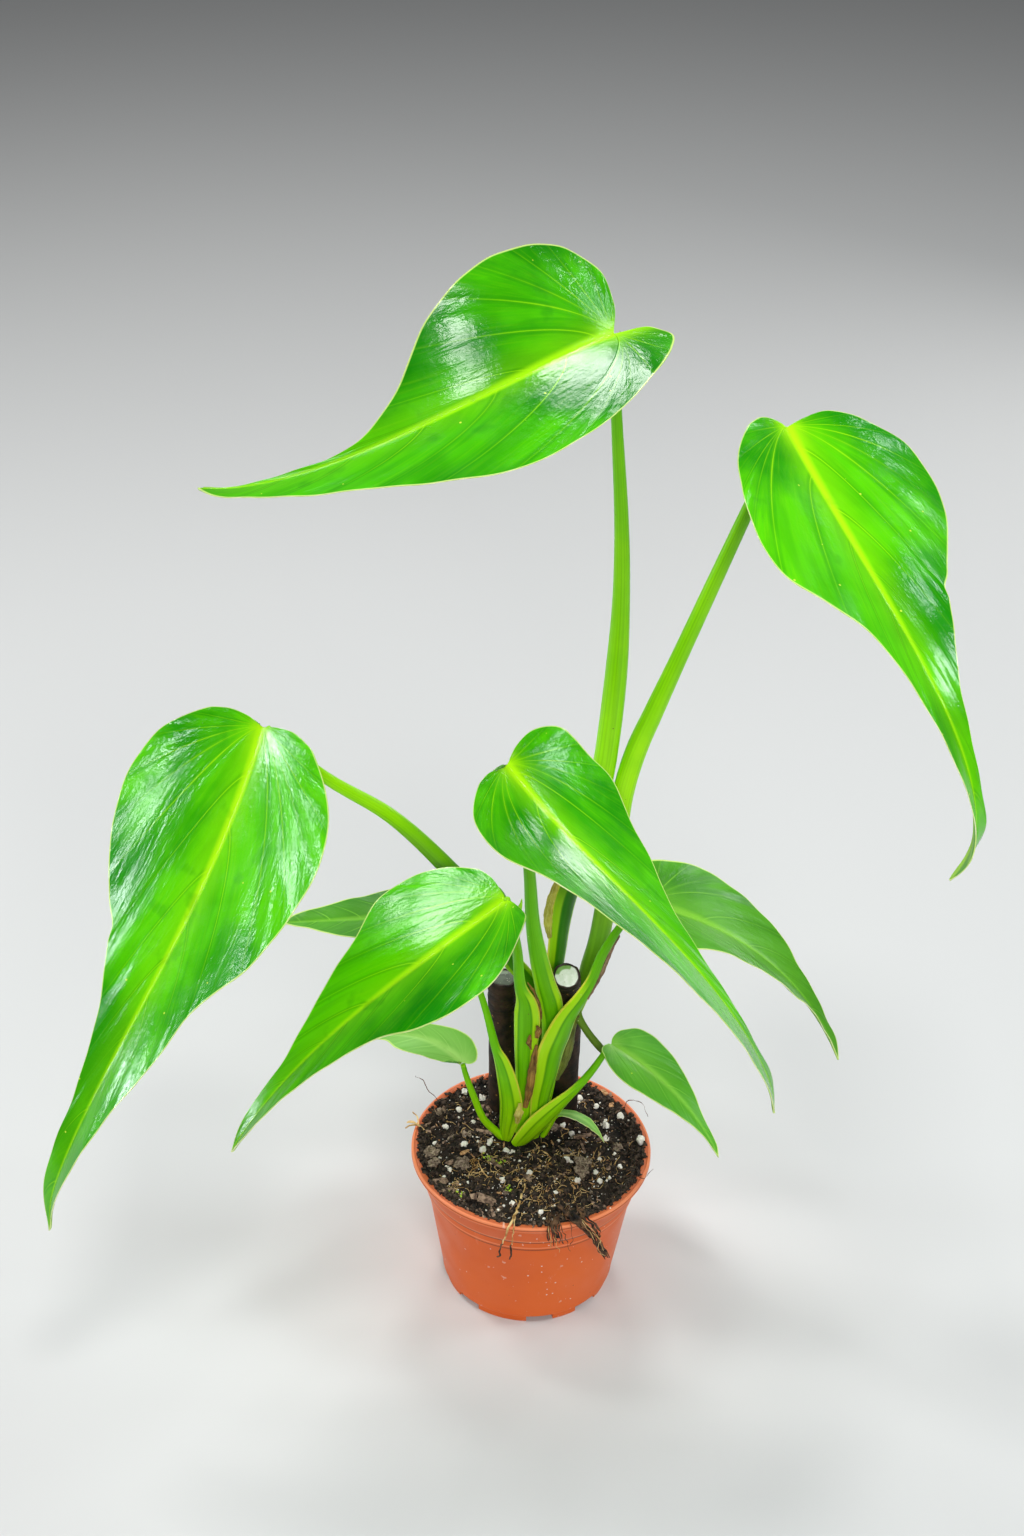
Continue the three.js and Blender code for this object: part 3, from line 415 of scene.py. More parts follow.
# %% Sizes of the blades
# heading, dip and roll: degrees at the start, middle and end of the midrib. fold: lift of each half.
# curl: droop of the margin, for the widest half width. left, right: points of each half's margin from
# the join to the tip, first their distances along the midrib and then those across it.
BLADES = {
    "top": dict(
        join=[22.5, 21, 510.5], length=200, heading=[-137, -103, -55], dip=[-2, 23, 16], roll=[21, 24, 15],
        fold=17, curl=0.03, widest=52,
        left=[[-17.7, -19.2, -10.3, -0.9, 15.5, 33.8, 53.9, 76.5, 100.5, 124.3, 148.4, 170.5, 187.1],
              [4.8, 15.6, 23.2, 28.2, 35.8, 43.4, 48.5, 48.5, 37.8, 26.8, 18.6, 11.5, 7.7]],
        right=[[-10, -13.9, -6.7, -0.6, 16, 34, 54, 76, 99.5, 123.6, 148, 170, 185.8],
               [12.4, 27.6, 41.2, 46.7, 50.5, 51.8, 47.7, 38.2, 18.7, 4.6, 2.5, 1.6, 0.6]],
    ),
    "upper_right": dict(
        join=[97.5, 19, 471], length=227, heading=[155, 150, 110], dip=[27, 30, 109], roll=[8, 15, 5],
        fold=15, curl=0.21, widest=60.5,
        left=[[-2.5, -3.6, -0.2, 1.2, 16.9, 38.6, 61.5, 86, 113.8, 140.6, 167.6, 192.9, 212.2],
              [9.8, 21, 31.1, 34.2, 54.5, 59.4, 52.3, 38.7, 25.7, 13.6, 6.8, 6.4, 8.8]],
        right=[[-3.2, -3.8, -1, 0.4, 17.5, 38.6, 61.3, 87.5, 112.7, 141.8, 168.3, 192.8, 211.8],
               [6.3, 13.8, 20.2, 22.6, 36.6, 45.1, 51.5, 51.7, 27.1, 16.4, 12.7, 6.8, 7.2]],
    ),
    "left": dict(
        join=[-127.5, 4.5, 322], length=255, heading=[212, 219, 242], dip=[61, 46, 77], roll=[-9, -6, 1],
        fold=15, curl=0.15, widest=65.5,
        left=[[-2.8, -4, -1.7, -0.3, 19.8, 43.4, 69.1, 97.7, 126.7, 159.1, 188.6, 216.4, 237.1],
              [10.7, 23.1, 34.7, 38.8, 57, 64.8, 62.4, 54.2, 35.5, 27.7, 17.2, 10.2, 5.5]],
        right=[[-2.7, -2.9, -0.7, 0.7, 19.5, 43.4, 69.8, 97.2, 127.7, 158.3, 188.5, 216.7, 237.6],
               [8.9, 19.2, 28.6, 31.6, 55.9, 64.8, 60.7, 45.7, 28.6, 16.4, 10.2, 8.7, 6.4]],
    ),
    "centre": dict(
        join=[-17, -29.5, 328], length=200, heading=[131, 120, 113], dip=[35, 35, 75], roll=[1, 24, 14],
        fold=4, curl=-0.02, widest=49,
        left=[[-5.1, -7.2, -3.7, 0, 16.6, 34, 53.6, 76, 100, 124.3, 147.7, 169.5, 186],
              [10.2, 22, 32.9, 36.5, 42.7, 48.1, 43.4, 36.8, 22.5, 13.4, 7.1, 5, 5.8]],
        right=[[-0.3, -0.5, 1.1, 1.6, 14.7, 33.8, 54.1, 76.9, 100.7, 125.1, 149.3, 170.9, 187],
               [6.3, 13.5, 20, 21.7, 42.1, 52.9, 44.7, 40.6, 35.1, 29.3, 21.3, 13.3, 7.7]],
    ),
    "front_left": dict(
        join=[-15.5, -26, 252], length=174, heading=[-122, -117, -114], dip=[24, 33, 60], roll=[0, -3, -11],
        fold=11, curl=0.07, widest=44,
        left=[[-0.8, -1, -0.6, 0, 13.9, 29.3, 47.4, 67.2, 86.9, 108.6, 129, 148.2, 162.2],
              [5.3, 11.4, 17.1, 19, 32.4, 41.9, 44.1, 38.9, 25.8, 18.8, 12.6, 8.6, 4.8]],
        right=[[-0.9, -1.5, -0.2, 0.6, 13.9, 29.5, 47.9, 66.1, 87.4, 107.9, 128.4, 148.1, 162.4],
               [6.7, 14.4, 21.5, 23.7, 37.5, 45, 45.5, 35.4, 26.3, 16.4, 8.7, 6.4, 5]],
    ),
    "right": dict(
        join=[53, 15, 221.5], length=125, heading=[96, 106, 125], dip=[12, 35, 63], roll=[-16, 9, 21],
        fold=17, curl=0.03, widest=28.5,
        left=[[-8.8, -11, -6.1, -0.1, 9.9, 21.2, 33.7, 47.5, 63.3, 77.7, 92.4, 106.2, 116.7],
              [6.4, 13.8, 20.7, 23.4, 26.3, 28.1, 26.8, 24.5, 20.9, 13.8, 8.6, 5.4, 4.3]],
        right=[[-8.8, -11, -6.1, 0, 10, 21.2, 33.8, 48.1, 63.6, 79.7, 92.5, 106.2, 116.2],
               [6, 12.9, 19.4, 21.5, 26.1, 30.9, 26.4, 25.2, 22.7, 20.2, 9.6, 4.5, 1.9]],
    ),
    "low_right": dict(
        join=[37.5, 6.5, 141.5], length=77, heading=[115, 124, 137], dip=[17, 30, 51], roll=[-1, -4, 1],
        fold=12, curl=0.09, widest=18,
        left=[[-1.2, -1.1, 0.1, 0.6, 5.8, 13.1, 20.7, 29.1, 38.5, 47.7, 56.7, 65.3, 71.7],
              [3.2, 6.9, 10.2, 11, 16.5, 18.1, 16.8, 14.3, 10.6, 6.9, 3.7, 2.5, 2]],
        right=[[-2, -2.5, -1.4, 0, 5.7, 13, 20.9, 29.5, 39, 48.1, 57.1, 65.5, 71.7],
               [2.9, 6.3, 9.5, 10.5, 15.5, 18, 17.8, 15.7, 12.7, 9, 5.1, 2.4, 1.2]],
    ),
    "low_left": dict(
        join=[-35.5, 9, 125], length=56, heading=[-57, -84, -101], dip=[-34, -6, 14], roll=[10, 15, 16],
        fold=11, curl=0.07, widest=12.5,
        left=[[0.2, 0.4, 0.4, 0.6, 4.6, 9.1, 14.9, 22.2, 29.6, 36.5, 41.4, 47.6, 52.1],
              [1.2, 1.6, 1.8, 1.8, 4.7, 8.5, 10.5, 11.1, 10.9, 8.8, 3.8, 2, 0.9]],
        right=[[-3.2, -4, -2.2, -0.2, 4.2, 9.5, 15, 21.1, 28, 34.7, 41.4, 47.6, 52.1],
               [2.8, 6, 9, 10.6, 12.8, 12.7, 11.2, 9.2, 8.6, 6.6, 4.2, 2, 0.9]],
    ),
    "back_left": dict(
        join=[-44.5, 25.5, 208.5], length=80, heading=[-101, -92, -88], dip=[10, 6, 8], roll=[6, 14, 18],
        fold=9, curl=0.12, widest=17,
        left=[[-5.6, -7, -3.9, 0, 6.4, 13.6, 21.6, 30.4, 40, 49.6, 59.1, 67.7, 74.4],
              [3.9, 8.4, 12.6, 14, 15.9, 17.1, 16.8, 15.6, 13.6, 11.1, 7.8, 4.3, 2.4]],
        right=[[-5.6, -7, -3.9, 0, 6.4, 13.6, 21.6, 30.4, 40, 50.1, 59.8, 68.8, 75],
               [3.9, 8.4, 12.6, 14, 15.9, 17.1, 17.2, 16, 13.2, 11.4, 8.3, 6.1, 3.9]],
    ),
    "tiny": dict(
        join=[13, 9, 93], length=30, heading=[74, 99, 124], dip=[4, 33, 54], roll=[25, 13, -1],
        fold=9, curl=0.13, widest=6.5,
        left=[[-2, -2.5, -1.4, 0, 2.4, 5.1, 8.1, 11.4, 15, 18.6, 22.2, 25.5, 27.9],
              [1.4, 3, 4.5, 5, 6, 6.6, 6.4, 5.8, 4.9, 3.8, 2.3, 1, 0.4]],
        right=[[-2, -2.5, -1.4, 0, 2.4, 5.1, 8.1, 11.4, 15, 18.6, 22.2, 25.5, 27.9],
               [1.4, 3, 4.5, 5, 5.6, 6.1, 6.2, 5.9, 5, 3.8, 2.3, 1, 0.4]],
    ),
}
print("blades:", ", ".join(BLADES))

# %% Form of a blade
# The veins that end on this first share of the margin all leave the midrib at the join, as a fan.
FAN_END = 0.4
# Half a span on from the join a margin points furthest back, so the first row of a blade ends there.
MARGIN_START = 0.5
RIB_DEPTH = 1.5
SHEET = 0.75
THICKEST = 2.4
# The power that brings the columns of the grid a little closer together at the midrib.
COLUMN_POWER = 1.15
# The spacing of the veins is measured over this share of a blade to each side.
PROBE = 0.002
# Points of the grid that lie closer than this, in mm, are merged before the sheet gets its thickness.
WELD = 0.04
# Ripples of the margin: height in mm, how many along the margin, and where they start.
MARGIN_WAVES = {
    "top": (0.5, 7.0, 0.4), "upper_right": (0.45, 7.0, 0.9), "left": (0.45, 7.0, 0.2),
    "centre": (0.3, 6.0, 0.6), "front_left": (0.3, 6.0, 0.1), "right": (0.4, 6.0, 0.5),
}
# How far the last tenth of a blade curls away at its drip tip.
TIP_HOOKS = {
    "upper_right": (-4.5, -1, -1.5), "left": (2.5, 0, -1.5), "top": (-2, 0, 0.5), "centre": (-1.5, 0, -1),
}
# Small kinks in the margin: the half, the place along it from 0 to 1, the width of the kink and its depth.
MARGIN_KINKS = {"left": [("right", 0.52, 0.022, 3.0)], "upper_right": [("left", 0.5, 0.02, 2.6)]}


def through(values, x):
    """A value that passes through its start, middle and end."""
    start, middle, end = values
    return start * (1 - x) * (1 - 2 * x) + middle * 4 * x * (1 - x) + end * x * (2 * x - 1)


def midrib_of(blade, steps=240):
    x = np.linspace(0, 1, steps + 1)
    heading, dip, roll = (np.radians(through(blade[key], x))[:, None] for key in ("heading", "dip", "roll"))
    flat = np.zeros_like(heading)
    forward = np.hstack([np.sin(heading) * np.cos(dip), np.cos(heading) * np.cos(dip), -np.sin(dip)])
    level = np.hstack([np.cos(heading), -np.sin(heading), flat])
    side = level * np.cos(roll) + np.cross(level, forward) * np.sin(roll)
    strides = (forward[1:] + forward[:-1]) * blade["length"] / steps / 2
    place = np.vstack([np.zeros(3), np.cumsum(strides, 0)]) + blade["join"]
    return x, place, forward, side, np.cross(side, forward)


def blade_points(blade, midrib, along, across, lift):
    """Points at shares along the blade and distances across it, raised by lift."""
    x, place, forward, side, up = midrib
    at = np.clip(along, 0, 1)
    tables = (place, forward, side, up)
    p, f, s, n = (np.stack([np.interp(at, x, table[:, k]) for k in range(3)], 1) for table in tables)
    fold = math.radians(blade["fold"])
    width = np.abs(across)
    rise = width * math.sin(fold) - blade["curl"] * width**2 / blade["widest"] + lift
    behind = np.minimum(along, 0) * blade["length"]
    return p + f * behind[:, None] + s * (across * math.cos(fold))[:, None] + n * rise[:, None]


def blade_form(name, blade, vein_count):
    """The form function of one blade for grid_piece, and the thickness that goes with it."""
    midrib = midrib_of(blade)
    length = blade["length"]
    size = min(1.0, length / 150)
    spans = len(blade["left"][0]) + 1
    dense = np.linspace(0, spans, 80 * spans + 1)
    edges = {half: [(0, 0), *zip(*blade[half]), (length, 0)] for half in ("left", "right")}
    margins = {half: curve_through(points, dense) for half, points in edges.items()}
    arcs = [np.linalg.norm(np.diff(margins[half], axis=0), axis=1) for half in margins]
    arc = np.concatenate([[0], np.cumsum(sum(arcs) / 2)])
    wave_height, wave_count, wave_start = MARGIN_WAVES.get(name, (0.2, 5.0, 0.0))
    hook = np.array(TIP_HOOKS.get(name, (0, 0, 0)), float)
    thickness = {}

    def place_on_blade(s, v):
        """Share along, distance across, and the margin's share and distance, for a place on the grid."""
        t = np.interp(v * arc[-1], arc, dense)
        t = t + MARGIN_START * (1 - ease(t, 0, 3))
        edge = {half: [np.interp(t, dense, margins[half][:, k]) for k in (0, 1)] for half in margins}
        for half, place, width, depth in MARGIN_KINKS.get(name, []):
            edge[half][1] = edge[half][1] - depth * np.exp(-(((v - place) / width) ** 2))
        reach = np.where(s < 0, edge["left"][0], edge["right"][0]) / length
        width = np.where(s < 0, edge["left"][1], edge["right"][1])
        mean_reach = (edge["left"][0] + edge["right"][0]) / 2 / length
        root = np.maximum(0, (mean_reach - FAN_END) / (1 - FAN_END))
        share = np.abs(s) ** COLUMN_POWER
        along = root + (reach - root) * share ** (COLUMN_POWER + 0.35 * ease(reach, -0.1, 0.5))
        return along, np.sign(s) * width * share, reach, np.sign(s) * width

    def form(u, v):
        s = 2 * u - 1
        share = np.abs(s) ** COLUMN_POWER
        along, across, reach, edge_across = place_on_blade(s, v)
        off = np.abs(across)
        phase = vein_count * (v + 0.014 * np.sin(11 * v + 3 * np.sign(s) + wave_start)) + 0.5 * (s > 0)
        inner = ease(share, 0.03, 0.2) * (1 - ease(share, 0.75, 1))
        furrow = -0.4 * size * np.exp(-((off / (1.8 * size + 0.3)) ** 2)) * (1 - 0.7 * along)
        turns = wave_count * v + wave_start
        uneven = np.sin(2 * np.pi * turns) + 0.8 * np.sin(11.3 * turns + 2) + 0.5 * np.sin(3.1 * turns + 4)
        wave = 0.5 * wave_height * uneven * ease(share, 0.6, 1) * ease(v, 0, 0.1)
        later, later_across, *_ = place_on_blade(s, np.minimum(v + PROBE, 1))
        earlier, earlier_across, *_ = place_on_blade(s, np.maximum(v - PROBE, 0))
        stride = np.hypot((later - earlier) * length, later_across - earlier_across)
        spacing = stride / (2 * PROBE) / vein_count
        quilt = 0.12 * size * np.sin(np.pi * phase) ** 2 * inner * ease(spacing, 4, 16)
        lift = 0.4 + quilt + furrow + wave * (1 - ease(v, 0.85, 1))
        curl = ease(along, 0.88, 1)[:, None] ** 2 * hook
        points = blade_points(blade, midrib, along, across, lift) + curl
        rim = blade_points(blade, midrib, reach, edge_across, lift) + curl
        rib = RIB_DEPTH * (1 - 0.85 * np.clip(along, 0, 1)) * size
        off_join = np.linalg.norm(points - points[np.argmin(off + v)], axis=1)
        near_join = ease(off_join, 0, 7 * size)
        rib_width = 2.0 * size * (1 - 0.5 * np.clip(along, 0, 1)) + 0.4
        under_rib = rib * near_join * np.exp(-((off / rib_width) ** 2))
        thin = (1 - 0.45 * ease(share, 0.93, 1)) * (0.2 + 0.8 * ease(off_join, 0.5, 4 * size))
        thickness["points"] = np.clip((SHEET * thin * (0.6 + 0.4 * size) + under_rib) / THICKEST, 0, 1)
        maps = {
            "veins": np.stack([phase, across / 10], 1),
            "edge": np.stack([np.linalg.norm(rim - points, axis=1) / 10, np.clip(along, 0, 1)], 1),
            "spread": np.stack([spacing / 10, share], 1),
        }
        return points, maps

    return form, thickness


print("blade form ready")

# %% Making one blade
def thicken(piece, weights):
    """Gives a sheet its thickness on the underside, by a vertex group."""
    group = piece.vertex_groups.new(name="thickness")
    levels = np.round(weights * 40).astype(int)
    for level in np.unique(levels):
        group.add(np.flatnonzero(levels == level).tolist(), float(level) / 40, "REPLACE")
    solid = piece.modifiers.new("thickness", "SOLIDIFY")
    solid.thickness = THICKEST * MM
    solid.offset = -1
    solid.vertex_group = "thickness"
    solid.use_rim = True
    solid.material_offset = 1
    solid.material_offset_rim = 2


def make_blade(name, columns, rows, vein_count, upper):
    form, thickness = blade_form(name, BLADES[name], vein_count)
    piece = grid_piece("leaf_" + name, columns, rows, form)
    thicken(piece, thickness["points"])
    for material in (upper, LEAF_UNDER, LEAF_MARGIN):
        piece.data.materials.append(material)
    edit(piece)
    bpy.ops.mesh.remove_doubles(threshold=WELD * MM)
    leave_edit()
    apply_modifiers(piece)
    make_closed(piece)
    smooth(piece)
    slots = np.empty(len(piece.data.polygons), dtype=np.int32)
    piece.data.polygons.foreach_get("material_index", slots)
    slot = "leaf_gloss" if upper in (LEAF_GLOSS, LEAF_GLOSS_SHADED) else "leaf_matt"
    settle(piece, slot, (upper, LEAF_UNDER, LEAF_MARGIN), "blade_" + name)
    piece.data.polygons.foreach_set("material_index", slots)


make_blade("top", 72, 140, 12, LEAF_GLOSS_SHADED)
for blade_name in ("upper_right", "left", "centre", "front_left"):
    make_blade(blade_name, 72, 140, 12, LEAF_GLOSS)
small_leaves = {"right": LEAF_MATT, "back_left": LEAF_MATT, "low_right": LEAF_YOUNG, "low_left": LEAF_PALE}
for blade_name, upper in small_leaves.items():
    make_blade(blade_name, 52, 100, 10, upper)
make_blade("tiny", 20, 32, 7, LEAF_PALE)

# %% [markdown]
# ## The stalks and their sheaths
# A leaf stalk is round above and opens below into a sheath, a gutter whose thin edges once wrapped the
# next leaf. A grid rolled into a tube makes both: its section goes from an ellipse to a half moon as the
# stalk comes down. Each row of the table is a place on the stalk with the size of its section there. The
# rows are points that a smooth curve passes through, so a stalk needs only a dozen of them.

# %% Sizes of the stalks
# Each stalk: the way that the open side of its gutter looks, and its rows. Each row: x, y, z, width,
# depth, and how far the section opens to a gutter, from 0 to 1.
STALKS = {
    "low_right": ([-0.25, 1, 0.25], [
        [-7, 5.5, 76.5, 7, 5, 0.2], [-3.2, 4, 83, 10.5, 6, 0.6], [3, 3, 93, 12.5, 6.5, 0.9],
        [9, 3, 101, 11, 6, 0.9], [15, 3.5, 108, 7.8, 5, 0.7], [21, 4, 115, 5.3, 4.4, 0.4],
        [28, 5.5, 124, 3.8, 3.8, 0], [37, 6.8, 140.5, 2.8, 2.8, 0],
    ]),
    "right": ([-0.6, 0.8, 0], [
        [1, 11, 76.5, 7, 5, 0.2], [3, 10.5, 92, 10, 6, 0.5], [4, 10, 105, 12, 7, 0.8],
        [6, 9, 120, 14, 8.5, 1], [8.2, 8, 137, 16.3, 9.5, 1], [10.5, 8, 145, 16, 9.5, 1],
        [14.7, 9.5, 156, 12.5, 8, 1], [21, 11, 166.5, 8.8, 6.5, 0.8], [26.5, 12, 177.5, 6.4, 5.4, 0.4],
        [32, 13, 194, 4.8, 4.6, 0], [42, 14.5, 212, 3.6, 3.6, 0], [52, 15.5, 220, 3.2, 3.2, 0],
    ]),
    "back_left": ([0.5, 0.85, 0], [
        [-13, 8, 76.5, 5.5, 4, 0.2], [-12, 6.5, 87, 9.4, 5, 0.6], [-10.6, 5, 103, 12.9, 6.5, 0.9],
        [-13, 4.5, 119.5, 11.5, 6, 0.9], [-16, 6, 130, 8.5, 5, 0.8], [-19, 8, 136.5, 5, 4.4, 0.3],
        [-23.5, 13, 152, 3.6, 3.6, 0], [-27, 16, 163, 3.2, 3.2, 0], [-38, 23.5, 194, 2.8, 2.8, 0],
        [-44, 25.6, 207.5, 2.6, 2.6, 0],
    ]),
    "front_left": ([0.3, 0.95, 0], [
        [-5, 12, 76.5, 6.5, 5, 0.2], [-4.2, 10.5, 103, 8.5, 5.5, 0.5], [-4.5, 9, 120, 9.3, 6, 0.7],
        [-4.3, 8, 137, 11.7, 7, 0.9], [-4.1, 5, 159, 13.2, 7.5, 1], [-4.8, 3, 170, 10.4, 6.5, 0.8],
        [-8, -1, 183, 6, 5, 0.3], [-9.6, -7.5, 205, 4.9, 4.5, 0], [-11, -16, 222, 4.2, 4, 0],
        [-15.5, -25.9, 251.9, 3.2, 3.2, 0],
    ]),
    "centre": ([0, 1, 0], [
        [3.5, 17.5, 76.5, 7, 5, 0], [8, 17, 120, 9.3, 6, 0.2], [8.6, 15.5, 147, 10.8, 6.5, 0.5],
        [6.8, 12, 163.5, 11.9, 7, 0.7], [4.2, 9, 175.5, 10.6, 7, 0.6], [0, 5, 197.5, 8.7, 6.5, 0.4],
        [-3, 0, 219.5, 6.9, 6, 0.2], [-6.3, -11, 263.5, 5.2, 5, 0], [-12.5, -22.5, 300, 4.2, 4.2, 0],
        [-17, -29.4, 327.9, 3.6, 3.6, 0],
    ]),
    "upper_right": ([0.4, 0.9, 0], [
        [2, 20, 76.5, 6, 4.5, 0], [5.5, 25, 92, 7, 5.5, 0], [15, 34.5, 125, 8, 6.5, 0.2],
        [24, 37, 154, 9.3, 7.5, 0.4], [27, 35, 169.5, 9.9, 8, 0.4], [30, 32, 187, 10.2, 8, 0.3],
        [35, 27.5, 243.5, 10.2, 8.6, 0.1], [37.5, 27, 277, 10.2, 9, 0], [42.4, 26, 301.5, 10, 9, 0],
        [49, 25, 322.5, 9.1, 8.6, 0], [59, 24, 353, 7.7, 7.6, 0], [75, 23, 401.5, 6.6, 6.6, 0],
        [97.4, 19.1, 470.9, 4.8, 4.8, 0],
    ]),
    "top": ([-0.6, 0.8, 0], [
        [-3, 21, 76.5, 6.5, 4.5, 0], [-1, 25, 92, 7.5, 5.5, 0], [3, 32.5, 120, 9, 6.5, 0.2],
        [8, 37.5, 155, 9.5, 7, 0.4], [9.5, 36.5, 175.5, 10.8, 8, 0.6], [10.6, 35, 194, 12, 8.5, 0.6],
        [13.2, 33, 215, 14, 9.5, 0.5], [23, 28, 248.5, 11.8, 10, 0.1], [26, 27, 275, 11.4, 10.2, 0],
        [28.5, 26, 298.5, 11.1, 10.4, 0], [31, 24, 342, 10.4, 10, 0], [31.5, 23, 381, 8, 8, 0],
        [30, 22, 419, 6.5, 6.5, 0], [25.2, 21, 474, 4.8, 4.8, 0], [22.5, 21, 510.4, 4, 4, 0],
    ]),
    "left": ([-0.4, 0.9, 0], [
        [-8, 20, 76.5, 6, 4.5, 0], [-5, 22, 112, 7, 5.5, 0.3], [-2.2, 25, 146, 7.7, 6, 0.5],
        [-3.5, 26.5, 163, 8, 6.5, 0.6], [-13, 27, 176.5, 9, 7.5, 0.5], [-28.5, 25, 210.5, 9.2, 8.6, 0.2],
        [-45.3, 21, 236.5, 8.5, 8, 0], [-71, 14, 269, 7, 6.8, 0], [-100.5, 8, 293.5, 5.6, 5.4, 0],
        [-127.3, 4.6, 321.8, 4.6, 4.6, 0],
    ]),
    "tiny": ([-0.5, 0, 0.9], [
        [6, 11.5, 76.5, 3.8, 3, 0], [9.5, 10, 86, 3.4, 2.8, 0.3], [11.4, 9.2, 91, 2.6, 2.4, 0],
        [12.6, 9, 92.6, 2.4, 2.2, 0],
    ]),
    "low_left": ([0.6, 0, 0.8], [
        [-14, 8.6, 76.5, 4, 3.6, 0], [-17.2, 8, 81, 4.4, 3.8, 0], [-23.8, 8, 89.5, 4.2, 4, 0.2],
        [-29, 8.3, 103, 3.4, 3.4, 0], [-33.2, 9.2, 116, 3, 3, 0], [-35, 9.2, 123.5, 2.6, 2.6, 0],
    ]),
}
print("stalks:", ", ".join(STALKS))

# %% Form of a stalk
def along_values(values, t):
    """A smooth run through a list of numbers, at places t from 0 to the number of spans."""
    spaced = np.column_stack([np.arange(len(values)) * 10.0, values])
    return curve_through(spaced, t)[:, 1]


def gutter_section(c, k, width, depth, channel):
    """Point c of 2 k + 2 round a section: the outer side first, then the inner one."""
    edge = np.minimum(0.7, depth * 0.4) * (0.15 + 0.45 * channel)
    wall = np.minimum(1.5, depth * 0.45)
    bulge = (depth / 2 - edge) * (1 - channel) + (wall - depth / 2 - edge / 2) * channel
    outer = c <= k
    angle = np.where(outer, np.pi * c / k, np.pi - np.pi * (c - k - 1) / k)
    y = np.where(outer, -depth / 2 * np.sin(angle), edge + bulge * np.sin(angle))
    return width / 2 * np.cos(angle), y, np.abs(np.cos(angle))


def rod(name, route, way, half_sides=16, per_span=6, end_caps=((0, 0),), rough=0.0, lengthen=0.0):
    """A closed rod along a route of rows. end_caps close the far end: share of the section, push outwards."""
    route = np.asarray(route, float)
    rings = (len(route) - 1) * per_span
    rows = 1 + rings + len(end_caps)
    columns = 2 * half_sides + 2
    way = np.asarray(way, float) / np.linalg.norm(way)

    def form(u, v):
        c = np.round(u * columns) % columns
        j = np.round(v * rows).astype(int)
        t = np.clip(j - 1, 0, rings) / per_span
        places = curve_through(route[:, :3], t)
        step = 0.02
        ahead = curve_through(route[:, :3], np.minimum(t + step, len(route) - 1))
        behind = curve_through(route[:, :3], np.maximum(t - step, 0))
        forward = unit(ahead - behind)
        opening = unit(way - forward * (forward @ way)[:, None])
        side = np.cross(forward, opening)
        width, depth, channel = (along_values(route[:, k], t) for k in (3, 4, 5))
        channel = np.clip(channel, 0, 1)
        a, b, near_edge = gutter_section(c, half_sides, width, depth, channel)
        share, push = np.ones(len(j)), np.zeros(len(j))
        share[j == 0] = 0
        for k, (cap_share, cap_push) in enumerate(end_caps):
            share[j == rings + 2 + k] = cap_share
            push[j == rings + 2 + k] = cap_push
        push = push + lengthen * ease(t, len(route) - 2, len(route) - 1)
        points = places + side * (a * share)[:, None] + opening * (b * share)[:, None]
        points = points + forward * push[:, None]
        if rough:
            for i, p in enumerate(points):
                points[i] = p + np.array(noise.noise_vector(Vector(p) * 0.35)) * rough * share[i]
        around = np.round(u * columns) / columns
        maps = {
            "stalk": np.stack([around, t / (len(route) - 1)], 1),
            "sheath": np.stack([near_edge * share, channel], 1),
            "cap": np.stack([share, around], 1),
        }
        return points, maps

    piece = grid_piece(name, columns, rows, form)
    make_closed(piece)
    smooth(piece)
    return piece


print("rod form ready")

# %% [markdown]
# ## Finish of the stalks
# Stalks are painted lime green low down where the light falls, and painted darker in the shade near the
# blades, with fine lengthwise lines. The thin flaps of a sheath let the light through, so they are lime too,
# with painted shadow along the fold beside the stalk's own body, and a yellow edge.

# %% Stalk finish
def stalk_finish(name, heights, lit_and_shaded_greens, roughness=0.32):
    """heights in mm and a colour for each, from the soil up to the blade: painted light and shade over the
    stalk's green.
    """
    stalk = Finish(name, Specular_IOR_Level=0.2)
    around, along = stalk.chart("stalk")
    near_edge, channel = stalk.chart("sheath")
    height = stalk.add("SeparateXYZ", {0: stalk.place()}, out=2)
    # Bands of colour by height: painted light low down, painted shade near the blades.
    stalk.colour = lit_and_shaded_greens[0]
    for k in range(1, len(heights)):
        share = stalk.between(height, heights[k - 1] * MM, heights[k] * MM)
        stalk.paint(share, lit_and_shaded_greens[k])
    line_place = stalk.vector(stalk.times(around, 26.0), stalk.times(along, 2.5))
    lines = stalk.noise(1.4, line_place, detail=4.0)
    darker = stalk.mix(1.0, stalk.colour, (0.55, 0.66, 0.5), "MULTIPLY")
    stalk.paint(stalk.between(lines, 0.4, 0.68, 0.0, 0.5), darker)
    patches = stalk.clouds(60.0, 0.4, 0.7, 0.0, 0.45, detail=3.0)
    stalk.paint(patches, stalk.mix(1.0, stalk.colour, (1.35, 1.15, 1.0), "MULTIPLY"))
    opened = stalk.between(channel, 0.3, 0.7)
    flap = stalk.times(stalk.between(near_edge, 0.48, 0.66), opened)
    stalk.paint(stalk.times(flap, 0.85), (0.46, 0.84, 0.008))
    # Painted shadow along the fold where a flap leaves the stalk's body.
    off_fold = stalk.off(near_edge, 0.5)
    fold = stalk.times(stalk.between(off_fold, 0.14, 0.0, 0.0, 0.6), opened)
    stalk.paint(fold, (0.04, 0.26, 0.001))
    rim = stalk.times(stalk.between(near_edge, 0.95, 0.99), stalk.between(channel, 0.15, 0.5))
    stalk.paint(stalk.times(rim, 0.85), (0.78, 0.74, 0.06))
    stalk.paint(stalk.specks(260.0, 0.1, 0.12), (0.14, 0.16, 0.02))
    stalk.paint(stalk.specks(190.0, 0.06, 0.15), (0.8, 0.85, 0.4))
    stalk.paint(stalk.between(along, 0.975, 1.0), (0.3, 0.72, 0.006))
    stalk.bump(lines, 0.2, 0.5)
    stalk.bump(stalk.noise(500.0, detail=2.0), 0.08, 0.5)
    shine = stalk.clouds(90.0, 0.3, 0.7, roughness, roughness + 0.14)
    return stalk.finish(shine)
